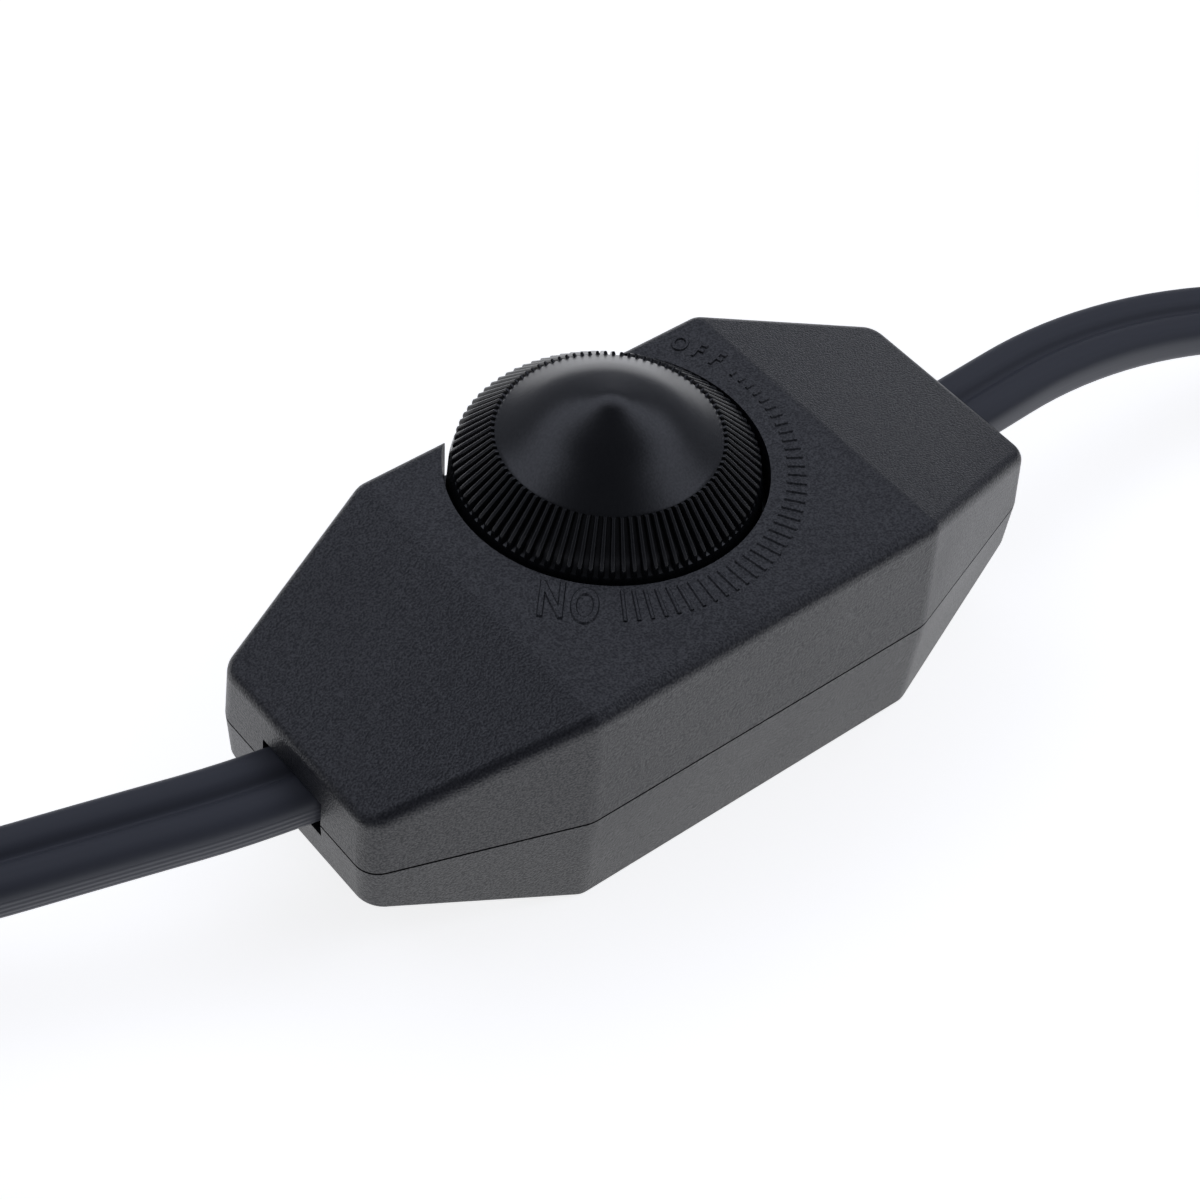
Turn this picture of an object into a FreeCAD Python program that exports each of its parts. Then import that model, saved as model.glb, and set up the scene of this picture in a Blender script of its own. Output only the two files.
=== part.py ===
import FreeCAD, Part
import math
import os

import Sketcher

# A rotary dimmer that sits in a lamp's cord. Millimetres and degrees.
# The origin is on the flat underside, below the middle of the casing. +X runs along the casing towards
# the lamp's cord, +Y towards the wall that the knob stands out of, and +Z up.

doc = FreeCAD.newDocument("rotary_cord_dimmer")

# Driving dimensions
DIMENSIONS = {
    # Casing
    "length": 70.4,
    "width": 32.5,
    "height": 22.0,
    "end_width": 20.4,
    "shoulder_length": 35.6,
    "parting_height": 10.4,
    "parting_gap": 0.22,
    "top_flat": 35.4,
    "top_slope": 19.2,
    "bottom_flat": 35.4,
    "bottom_slope": 18.7,
    "draft": 3.0,
    "wall": 2.0,
    "shoulder_round": 3.0,
    "corner_round": 2.2,
    "crease_round": 2.0,
    "edge_round": 1.2,
    "base_round": 0.35,
    # Bosses and screws
    "boss_x": 21.5,
    "boss_y": 8.7,
    "boss_radius": 3.4,
    "screw_radius": 1.4,
    "screw_clearance": 0.2,
    "thread_clearance": 0.05,
    "screw_head_radius": 2.6,
    "screw_head_height": 1.8,
    "screw_seat": 4.0,
    "screw_bite": 6.0,
    "screw_end_clearance": 0.5,
    "recess_width": 0.8,
    "recess_length": 3.0,
    "recess_depth": 1.1,
    # Cord slots and grips
    "cord_width": 7.1,
    "cord_thickness": 3.55,
    "slot_clearance": 0.45,
    "slot_rise": 2.5,
    "slot_drop": 1.5,
    "grip_x": 29.0,
    "grip_thickness": 1.6,
    "core_radius": 1.3,
    "tail_run": 3.5,
    "tail_rise": 3.5,
    "tail_inset": 1.4,
    "tail_pitch": 2.9,
    "line_tail_y": -2.6,
    "load_tail_y": -2.9,
    # Knob and its well
    "knob_y": 5.5,
    "well_clearance": 0.8,
    "well_wall": 1.5,
    "well_depth": 5.0,
    "well_floor": 1.5,
    "knob_radius": 12.75,
    "knob_lift": 0.5,
    "rim_rise": 0.75,
    "flank_height": 2.8,
    "brim_radius": 9.35,
    "ridge_count": 90,
    "ridge_depth": 0.45,
    "hat_height": 3.9,
    "hollow_radius": 10.6,
    "hub_radius": 4.6,
    # Potentiometer and switch
    "shaft_radius": 3.0,
    "shaft_clearance": 0.05,
    "shaft_hole_clearance": 0.3,
    "shaft_top_clearance": 0.3,
    "shaft_flat": 2.2,
    "bore_depth": 6.8,
    "drive_radius": 1.5,
    "drive_length": 1.5,
    "pot_radius": 7.2,
    "pot_height": 5.4,
    "pot_skin": 0.5,
    "pot_clearance": 0.1,
    "wafer_thickness": 1.2,
    "track_inner": 4.4,
    "track_outer": 5.8,
    "track_thickness": 0.15,
    "track_angle": 300.0,
    "rotor_radius": 6.2,
    "rotor_thickness": 1.8,
    "wiper_thickness": 0.3,
    "wiper_width": 1.2,
    "lug_width": 1.2,
    "lug_thickness": 0.5,
    "lug_circle": 6.3,
    "lug_angle": 35.0,
    "switch_radius": 5.5,
    # Circuit board and what stands on it
    "board_length": 34.0,
    "board_width": 26.4,
    "board_thickness": 1.6,
    "standoff_height": 1.4,
    "standoff_radius": 1.6,
    "standoff_inset": 2.0,
    "edge_inset": 0.6,
    "sink_length": 8.2,
    "sink_width": 10.5,
    "sink_thickness": 1.0,
    "triac_length": 7.6,
    "triac_width": 8.4,
    "triac_thickness": 2.7,
    "rivet_radius": 1.4,
    "rivet_head_radius": 2.2,
    "rivet_head_height": 0.8,
    "lead_width": 0.8,
    "lead_reach": 1.6,
    "lead_pitch": 2.3,
    "filter_length": 13.0,
    "filter_width": 6.0,
    "filter_height": 10.0,
    "film_length": 7.2,
    "film_width": 3.0,
    "film_height": 6.5,
    "film_gap": 1.2,
    "choke_x": 10.0,
    "choke_y": 8.2,
    "choke_radius": 4.8,
    "choke_waist": 2.2,
    "choke_height": 8.5,
    "choke_flange": 1.2,
    "winding_radius": 4.3,
    "resistor_radius": 1.2,
    "resistor_length": 6.5,
    "diac_radius": 0.95,
    "diac_length": 4.2,
    "pin_radius": 0.35,
    "pin_reach": 1.0,
    # Cords put away at both ends
    "hank_bend": 19.6,
    "hank_run": 50.0,
    "line_hank_gap": 65.8,
    "load_hank_gap": 81.8,
    "line_layers": 2,
    "load_layers": 1,
    "tie_width": 12.0,
    "tie_thickness": 0.8,
    "line_tie_inset": 6.0,
    "load_tie_inset": 23.2,
    # Plug and bare ends
    "plug_gap": 37.0,
    "plug_y": 11.0,
    "plug_length": 26.0,
    "plug_width": 24.0,
    "plug_thickness": 14.0,
    "plug_taper": 8.0,
    "plug_round": 2.5,
    "blade_pitch": 12.7,
    "blade_length": 16.5,
    "blade_width": 6.35,
    "blade_thickness": 1.5,
    "blade_hole_radius": 1.55,
    "blade_hole_inset": 5.0,
    "strand_radius": 0.8,
    "strand_length": 12.0,
}

sheet = doc.addObject("Spreadsheet::Sheet", "Sizes")
for row, (word, number) in enumerate(DIMENSIONS.items(), 1):
    sheet.set(f"A{row}", word.replace("_", " "))
    sheet.set(f"B{row}", str(number))
    sheet.setAlias(f"B{row}", word)
doc.recompute()

# Places that several pieces share
HALF_LENGTH = "(Sizes.length / 2)"
FLARE = "atan((Sizes.width - Sizes.end_width) / (Sizes.length - Sizes.shoulder_length))"
CORD_HEIGHT = "(Sizes.parting_height + (Sizes.slot_rise - Sizes.slot_drop) / 2)"
CORD_TOP = f"({CORD_HEIGHT} + Sizes.cord_thickness / 2)"
CORD_BOTTOM = f"({CORD_HEIGHT} - Sizes.cord_thickness / 2)"
SLOT_WIDTH = "(Sizes.cord_width + 2 * Sizes.slot_clearance)"
WELL_RADIUS = "(Sizes.knob_radius + Sizes.well_clearance)"
WELL_FLOOR = "(Sizes.height - Sizes.well_depth)"
KNOB_BOTTOM = f"({WELL_FLOOR} + Sizes.knob_lift)"
RIM_TOP = "(Sizes.height + Sizes.rim_rise)"
BRIM = f"({RIM_TOP} + Sizes.flank_height)"
BORE_TOP = f"({KNOB_BOTTOM} + Sizes.bore_depth)"
POT_TOP = f"({WELL_FLOOR} - Sizes.well_floor - Sizes.pot_clearance)"
POT_BOTTOM = f"({POT_TOP} - Sizes.pot_height)"
WAFER_TOP = f"({POT_BOTTOM} + Sizes.wafer_thickness)"
TRACK_TOP = f"({WAFER_TOP} + Sizes.track_thickness)"
ROTOR_TOP = f"({POT_TOP} - Sizes.pot_skin - Sizes.pot_clearance)"
ROTOR_BOTTOM = f"({ROTOR_TOP} - Sizes.rotor_thickness)"
BOARD_BOTTOM = "(Sizes.wall + Sizes.standoff_height)"
BOARD_TOP = f"({BOARD_BOTTOM} + Sizes.board_thickness)"
HANK_THICKNESS = "(2 * Sizes.cord_thickness)"
HANK_INNER = "(Sizes.hank_bend - Sizes.cord_thickness / 2)"
HANK_OUTER = f"({HANK_INNER} + {HANK_THICKNESS})"
LINE_HANK = f"({HALF_LENGTH} + Sizes.line_hank_gap)"
LOAD_HANK = f"({HALF_LENGTH} + Sizes.load_hank_gap)"
LINE_HANK_TOP = "(Sizes.tie_thickness + Sizes.line_layers * Sizes.cord_width)"
LOAD_HANK_TOP = "(Sizes.tie_thickness + Sizes.load_layers * Sizes.cord_width)"

X_AXIS = FreeCAD.Vector(1, 0, 0)
Y_AXIS = FreeCAD.Vector(0, 1, 0)
UP = FreeCAD.Vector(0, 0, 1)
SIDES = (-1, 1)
SHORTEST_EDGE = 0.01
ALL_ROUND = 360.0

nodes = []


def value(expression):
    """The number that an expression of the sizes gives."""
    found = sheet.evalExpression(str(expression))
    return float(getattr(found, "Value", found))


def bind(target, **formulas):
    """Ties properties to the sizes; x, y and z are the placement's base."""
    for name, formula in formulas.items():
        path = f"Placement.Base.{name}" if name in ("x", "y", "z") else name
        target.setExpression(path, str(formula))
    return target


def node(target, label):
    """Marks a finished piece and gives it its name."""
    target.Label = label
    nodes.append(target)
    return target


def box(name, size, place):
    """A block by its three sizes and its lowest corner."""
    length, width, height = size
    x, y, z = place
    solid = doc.addObject("Part::Box", name)
    return bind(solid, Length=length, Width=width, Height=height, x=x, y=y, z=z)


def centred_box(name, size, place):
    """A block by its three sizes and the middle of its lowest face."""
    length, width, _ = size
    x, y, z = place
    return box(name, size, (f"{x} - {length} / 2", f"{y} - {width} / 2", z))


def cylinder(name, radius, height, place, axis=UP):
    """A round bar by its radius, length and the centre of its first end."""
    x, y, z = place
    solid = doc.addObject("Part::Cylinder", name)
    solid.Placement = FreeCAD.Placement(FreeCAD.Vector(), FreeCAD.Rotation(UP, axis))
    return bind(solid, Radius=radius, Height=height, x=x, y=y, z=z)


def fuse(name, shapes):
    """Several shapes joined to one."""
    joined = doc.addObject("Part::MultiFuse", name)
    joined.Shapes = shapes
    joined.Refine = True
    return joined


def group(name, shapes):
    """Several like solids that stay apart and share a node."""
    joined = doc.addObject("Part::Compound", name)
    joined.Links = shapes
    return joined


def cut(name, base, tools):
    """A shape with one or more tools taken out of it."""
    result = doc.addObject("Part::Cut", name)
    result.Base = base
    result.Tool = tools[0] if len(tools) == 1 else fuse(f"{name}_tools", tools)
    result.Refine = True
    return result


def common(name, first, second):
    """What two shapes share."""
    result = doc.addObject("Part::MultiCommon", name)
    result.Shapes = [first, second]
    return result


def tube(name, outer, inner, height, place):
    """A ring by its two radii."""
    x, y, z = place
    bar = cylinder(f"{name}_bar", outer, height, place)
    hole = cylinder(f"{name}_hole", inner, f"{height} + 2", (x, y, f"{z} - 1"))
    return cut(name, bar, [hole])


def sketch_on(body, name, role, lift="0"):
    """An empty sketch on one of the body's own planes."""
    plane = next(feature for feature in body.Origin.OriginFeatures if feature.Role == role)
    sketch = body.newObject("Sketcher::SketchObject", name)
    sketch.AttachmentSupport = [(plane, "")]
    sketch.MapMode = "FlatFace"
    sketch.setExpression("AttachmentOffset.Base.z", lift)
    return sketch


def hold(sketch, kind, line, end, formula):
    """Holds a point of a sketch at a distance from its origin."""
    number = sketch.addConstraint(Sketcher.Constraint(kind, -1, 1, line, end, value(formula)))
    sketch.setExpression(f"Constraints[{number}]", formula)


def add_polygon(sketch, corners):
    """Adds a closed outline whose corners are held by their distances from the origin."""
    first = sketch.GeometryCount
    count = len(corners)
    places = [FreeCAD.Vector(value(across), value(along), 0) for across, along in corners]
    for index in range(count):
        sketch.addGeometry(Part.LineSegment(places[index], places[(index + 1) % count]), False)
    for index, (across, along) in enumerate(corners):
        line = first + index
        following = first + (index + 1) % count
        sketch.addConstraint(Sketcher.Constraint("Coincident", line, 2, following, 1))
        hold(sketch, "DistanceX", line, 1, across)
        hold(sketch, "DistanceY", line, 1, along)


def pad(body, sketch, length, taper="0", reverse=False):
    """A sketch drawn out to a solid, narrowing by the taper."""
    feature = body.newObject("PartDesign::Pad", f"{sketch.Name}_pad")
    feature.Profile = sketch
    feature.Reversed = reverse
    feature.setExpression("Length", length)
    feature.setExpression("TaperAngle", f"-({taper})")
    return feature


def pocket_across(body, sketch, length):
    """A sketch cut through the body, evenly to both sides of its plane."""
    doc.recompute()
    before = body.Shape.Volume
    feature = body.newObject("PartDesign::Pocket", f"{sketch.Name}_pocket")
    feature.Profile = sketch
    feature.SideType = "Symmetric"
    feature.setExpression("Length", length)
    doc.recompute()
    if body.Shape.Volume >= before:
        raise ValueError(f"{sketch.Name} cuts nothing")
    return feature


def round_edges(body, name, radius, chosen):
    """Rounds the edges of a body's last feature that chosen picks."""
    doc.recompute()
    base = body.Tip
    shape = base.Shape
    picked = [f"Edge{number}" for number, edge in enumerate(shape.Edges, 1) if chosen(shape, edge)]
    feature = body.newObject("PartDesign::Fillet", name)
    feature.Base = (base, picked)
    feature.setExpression("Radius", radius)
    doc.recompute()
    return feature


def facing(face):
    """How far a face looks upwards, from -1 to 1."""
    u_low, u_high, v_low, v_high = face.ParameterRange
    return face.normalAt((u_low + u_high) / 2, (v_low + v_high) / 2).z


# Casing

STEEP = 0.3
FLAT = 0.5
PAST = "5"
SCREW_PLACES = [(f"{side} * Sizes.boss_x", f"{flank} * Sizes.boss_y") for side in SIDES for flank in SIDES]


def half_form(name, upper, inset, rounded):
    """One half of the casing's form, set in from its outside by the inset.

    The plan is a long octagon, the walls lean in by the draft, and the far face has a flat middle
    with two sloping ends.
    """
    flat = "Sizes.top_flat" if upper else "Sizes.bottom_flat"
    slope = "Sizes.top_slope" if upper else "Sizes.bottom_slope"
    body = doc.addObject("PartDesign::Body", name)
    shoulder = f"(Sizes.shoulder_length / 2 - {inset} * tan({FLARE} / 2))"
    half_width = f"(Sizes.width / 2 - {inset})"
    half_length = f"({HALF_LENGTH} - {inset})"
    end_half = f"(Sizes.end_width / 2 - {inset} * tan((90 deg - {FLARE}) / 2))"
    plan = sketch_on(body, f"{name}_plan", "XY_Plane", "Sizes.parting_height")
    quarter = [(half_length, end_half), (shoulder, half_width)]
    add_polygon(
        plan,
        quarter
        + [(f"-{x}", y) for x, y in reversed(quarter)]
        + [(f"-{x}", f"-{y}") for x, y in quarter]
        + [(x, f"-{y}") for x, y in reversed(quarter)],
    )
    rise = f"(Sizes.height - Sizes.parting_height - {inset})"
    drop = f"(Sizes.parting_height - {inset})"
    pad(body, plan, rise if upper else drop, "Sizes.draft", reverse=not upper)
    if rounded:
        between = (value(HALF_LENGTH) + value("Sizes.shoulder_length / 2")) / 2

        def upright(edge):
            return abs(edge.Vertexes[0].Z - edge.Vertexes[-1].Z) > SHORTEST_EDGE

        def at_shoulder(shape, edge):
            return upright(edge) and abs(edge.CenterOfMass.x) < between

        def at_corner(shape, edge):
            return upright(edge) and abs(edge.CenterOfMass.x) > between

        round_edges(body, f"{name}_shoulders", "Sizes.shoulder_round", at_shoulder)
        round_edges(body, f"{name}_corners", "Sizes.corner_round", at_corner)

    crease = f"({flat} / 2 - {inset} * tan({slope} / 2))"
    level = f"(Sizes.height - {inset})" if upper else inset
    away = "+" if upper else "-"
    towards = "-" if upper else "+"
    far = f"({HALF_LENGTH} + {PAST})"
    fall = f"({far} - {crease}) * tan({slope})"
    wedges = sketch_on(body, f"{name}_wedges", "XZ_Plane")
    for sign in ("", "-"):
        add_polygon(
            wedges,
            [
                (f"{sign}{crease}", level),
                (f"{sign}{far}", f"{level} {towards} {fall}"),
                (f"{sign}{far}", f"{level} {away} {PAST}"),
                (f"{sign}{crease}", f"{level} {away} {PAST}"),
            ],
        )
    pocket_across(body, wedges, "Sizes.width * 2")
    if rounded:

        def at_crease(shape, edge):
            ends = edge.Vertexes
            on_level = abs(ends[0].Z - value(level)) < SHORTEST_EDGE
            straight_over = abs(ends[0].X - ends[-1].X) < SHORTEST_EDGE
            return on_level and straight_over and edge.Length > value("Sizes.width / 2")

        def at_rim(shape, edge):
            tilts = [abs(facing(face)) for face in shape.ancestorsOfType(edge, Part.Face)]
            on_parting = abs(edge.CenterOfMass.z - value("Sizes.parting_height")) < SHORTEST_EDGE
            return min(tilts) < STEEP and max(tilts) > FLAT and not on_parting

        round_edges(body, f"{name}_creases", "Sizes.crease_round", at_crease)
        round_edges(body, f"{name}_rim", "Sizes.edge_round" if upper else "Sizes.base_round", at_rim)
    return body


def cord_slots(name, drop, height):
    """The part of both cord slots that one shell holds."""
    length = "(3 * Sizes.wall)"
    bottom = f"Sizes.parting_height - {drop}"
    return [
        centred_box(
            f"{name}_slot_{index}",
            (length, SLOT_WIDTH, height),
            (f"{side} * {HALF_LENGTH}", "0", bottom),
        )
        for index, side in enumerate(SIDES, 1)
    ]


def cord_grips(name, bottom, top):
    """The ribs that hold both cords from one side."""
    return [
        centred_box(
            f"{name}_grip_{index}",
            ("Sizes.grip_thickness", "Sizes.width", f"({top} - {bottom})"),
            (f"{side} * Sizes.grip_x", "0", bottom),
        )
        for index, side in enumerate(SIDES, 1)
    ]


def at_bosses(name, radius, height, bottom):
    """A round bar at each of the four screws."""
    return [
        cylinder(f"{name}_{index}", radius, height, (x, y, bottom))
        for index, (x, y) in enumerate(SCREW_PLACES, 1)
    ]


def make_upper_shell():
    """Upper shell with the knob's well, screw bosses and cord grips."""
    outside = half_form("upper_outside", True, "0", True)
    hollow = half_form("upper_hollow", True, "Sizes.wall", False)
    skin = cut("upper_skin", outside, [hollow])
    well = cylinder(
        "upper_well",
        f"{WELL_RADIUS} + Sizes.well_wall",
        "Sizes.height",
        ("0", "Sizes.knob_y", f"{WELL_FLOOR} - Sizes.well_floor"),
    )
    boss_height = "Sizes.height - Sizes.parting_height"
    bosses = at_bosses("upper_boss", "Sizes.boss_radius", boss_height, "Sizes.parting_height")
    grips = cord_grips("upper", CORD_TOP, "Sizes.height")
    inner = common("upper_inner", fuse("upper_fittings", [well, *bosses, *grips]), outside)
    whole = fuse("upper_whole", [skin, inner])
    pilots = at_bosses(
        "upper_pilot",
        "Sizes.screw_radius + Sizes.thread_clearance",
        "Sizes.screw_bite + Sizes.screw_end_clearance",
        "Sizes.parting_height",
    )
    opening = cylinder("upper_opening", WELL_RADIUS, "Sizes.height", ("0", "Sizes.knob_y", WELL_FLOOR))
    shaft_hole = cylinder(
        "upper_shaft_hole",
        "Sizes.shaft_radius + Sizes.shaft_hole_clearance",
        "Sizes.height",
        ("0", "Sizes.knob_y", f"{WELL_FLOOR} - 2 * Sizes.well_floor"),
    )
    slots = cord_slots("upper", "0", "Sizes.slot_rise")
    node(cut("upper_shell_cut", whole, [opening, shaft_hole, *pilots, *slots]), "upper_shell")


def make_lower_shell():
    """Lower shell with the board's standoffs, screw bosses and cord grips."""
    outside = half_form("lower_outside", False, "0", True)
    hollow = half_form("lower_hollow", False, "Sizes.wall", False)
    parting = centred_box(
        "lower_parting",
        ("2 * Sizes.length", "2 * Sizes.width", "Sizes.parting_gap"),
        ("0", "0", "Sizes.parting_height - Sizes.parting_gap"),
    )
    skin = cut("lower_skin", outside, [hollow, parting])
    bosses = at_bosses("lower_boss", "Sizes.boss_radius", "Sizes.parting_height", "0")
    grips = cord_grips("lower", "0", CORD_BOTTOM)
    standoffs = [
        cylinder(
            f"lower_standoff_{across}_{along}",
            "Sizes.standoff_radius",
            BOARD_BOTTOM,
            (
                f"{side} * (Sizes.board_length / 2 - Sizes.standoff_inset)",
                f"{flank} * (Sizes.board_width / 2 - Sizes.standoff_inset)",
                "0",
            ),
        )
        for across, side in enumerate(SIDES, 1)
        for along, flank in enumerate(SIDES, 1)
    ]
    inner = common("lower_inner", fuse("lower_fittings", [*bosses, *grips, *standoffs]), outside)
    whole = fuse("lower_whole", [skin, inner])
    holes = at_bosses(
        "lower_hole", "Sizes.screw_radius + Sizes.screw_clearance", "Sizes.parting_height + 2", "-1"
    )
    sinks = at_bosses(
        "lower_sink", "Sizes.screw_head_radius + Sizes.screw_clearance", "Sizes.screw_seat + 1", "-1"
    )
    slots = cord_slots("lower", "Sizes.slot_drop", "Sizes.slot_drop")
    node(cut("lower_shell_cut", whole, [*holes, *sinks, *slots]), "lower_shell")


def make_housing_screws():
    """Four cross-head screws that draw the shells together from below."""
    head_bottom = "Sizes.screw_seat - Sizes.screw_head_height"
    shank = "Sizes.parting_height + Sizes.screw_bite - Sizes.screw_seat"
    heads = at_bosses("screw_head", "Sizes.screw_head_radius", "Sizes.screw_head_height", head_bottom)
    shanks = at_bosses("screw_shank", "Sizes.screw_radius", shank, "Sizes.screw_seat")
    screws = []
    for index, (head, bar, (x, y)) in enumerate(zip(heads, shanks, SCREW_PLACES), 1):
        centre = (x, y, f"{head_bottom} - 1")
        long, narrow, depth = "Sizes.recess_length", "Sizes.recess_width", "Sizes.recess_depth + 1"
        crossing = [
            centred_box(f"recess_{index}_along", (long, narrow, depth), centre),
            centred_box(f"recess_{index}_across", (narrow, long, depth), centre),
        ]
        screws.append(cut(f"screw_{index}", fuse(f"screw_{index}_blank", [head, bar]), crossing))
    node(group("screw_set", screws), "housing_screws")


# Knob


def ridged_outline(radius, height):
    """A closed outline with a ridge at each step round the knob's axis."""
    count = int(value("Sizes.ridge_count"))
    depth = value("Sizes.ridge_depth")
    corners = []
    for step in range(2 * count):
        angle = math.pi * step / count
        reach = radius if step % 2 == 0 else radius - depth
        corners.append(FreeCAD.Vector(reach * math.cos(angle), reach * math.sin(angle), height))
    return Part.makePolygon([*corners, corners[0]])


def make_knob():
    """Knob with a ridged skirt and flank, a smooth domed hat above and a hub below."""
    band = doc.addObject("Part::Feature", "knob_band")
    crest = value("Sizes.knob_radius")
    brim_crest = value("Sizes.brim_radius + Sizes.ridge_depth")
    outlines = [
        ridged_outline(crest, value(KNOB_BOTTOM)),
        ridged_outline(crest, value(RIM_TOP)),
        ridged_outline(brim_crest, value(BRIM)),
    ]
    band.Shape = Part.makeLoft(outlines, True, True)
    band.Placement = FreeCAD.Placement(FreeCAD.Vector(0, value("Sizes.knob_y"), 0), FreeCAD.Rotation())

    hat = doc.addObject("PartDesign::Body", "knob_hat")
    bind(hat, y="Sizes.knob_y")
    profile = sketch_on(hat, "hat_profile", "XZ_Plane")
    draw_hat(profile)
    turned = hat.newObject("PartDesign::Revolution", "hat_turned")
    turned.Profile = profile
    turned.ReferenceAxis = (profile, ["V_Axis"])
    turned.Angle = ALL_ROUND

    whole = fuse("knob_whole", [band, hat])
    centre = ("0", "Sizes.knob_y")
    hollow = tube(
        "knob_hollow",
        "Sizes.hollow_radius",
        "Sizes.hub_radius",
        f"({RIM_TOP} - {KNOB_BOTTOM})",
        (*centre, KNOB_BOTTOM),
    )
    bore = cylinder(
        "knob_bore",
        "Sizes.shaft_radius + Sizes.shaft_clearance",
        "Sizes.bore_depth",
        (*centre, KNOB_BOTTOM),
    )
    flat = box(
        "knob_bore_flat",
        ("Sizes.shaft_radius", "4 * Sizes.shaft_radius", "Sizes.bore_depth"),
        ("Sizes.shaft_flat + Sizes.shaft_clearance", "Sizes.knob_y - 2 * Sizes.shaft_radius", KNOB_BOTTOM),
    )
    shaped_bore = cut("knob_shaped_bore", bore, [flat])
    node(cut("knob_cut", whole, [hollow, shaped_bore]), "knob")


def draw_hat(profile):
    """Half of the hat's outline: a round dome from the brim up to the apex on the axis."""
    rise = value("Sizes.hat_height")
    reach = value("Sizes.brim_radius")
    dome = (reach**2 + rise**2) / (2 * rise)
    half_turn = math.asin(reach / dome) / 2
    foot = FreeCAD.Vector(0, value(BRIM), 0)
    brim = FreeCAD.Vector(reach, foot.y, 0)
    apex = FreeCAD.Vector(0, foot.y + rise, 0)
    middle = apex + FreeCAD.Vector(math.sin(half_turn), math.cos(half_turn) - 1, 0) * dome
    profile.addGeometry(Part.LineSegment(apex, foot), False)
    profile.addGeometry(Part.LineSegment(foot, brim), False)
    profile.addGeometry(Part.Arc(brim, middle, apex), False)
    profile.addConstraint(Sketcher.Constraint("Coincident", 0, 2, 1, 1))
    profile.addConstraint(Sketcher.Constraint("Coincident", 1, 2, 2, 1))
    profile.addConstraint(Sketcher.Constraint("Coincident", 2, 2, 0, 1))
    hold(profile, "DistanceX", 1, 1, "0")
    hold(profile, "DistanceY", 1, 1, BRIM)
    hold(profile, "DistanceX", 1, 2, "Sizes.brim_radius")
    hold(profile, "DistanceY", 1, 2, BRIM)
    hold(profile, "DistanceX", 0, 1, "0")
    hold(profile, "DistanceY", 0, 1, f"{BRIM} + Sizes.hat_height")
    profile.addConstraint(Sketcher.Constraint("PointOnObject", 2, 3, -2))


# Potentiometer and switch


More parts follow.
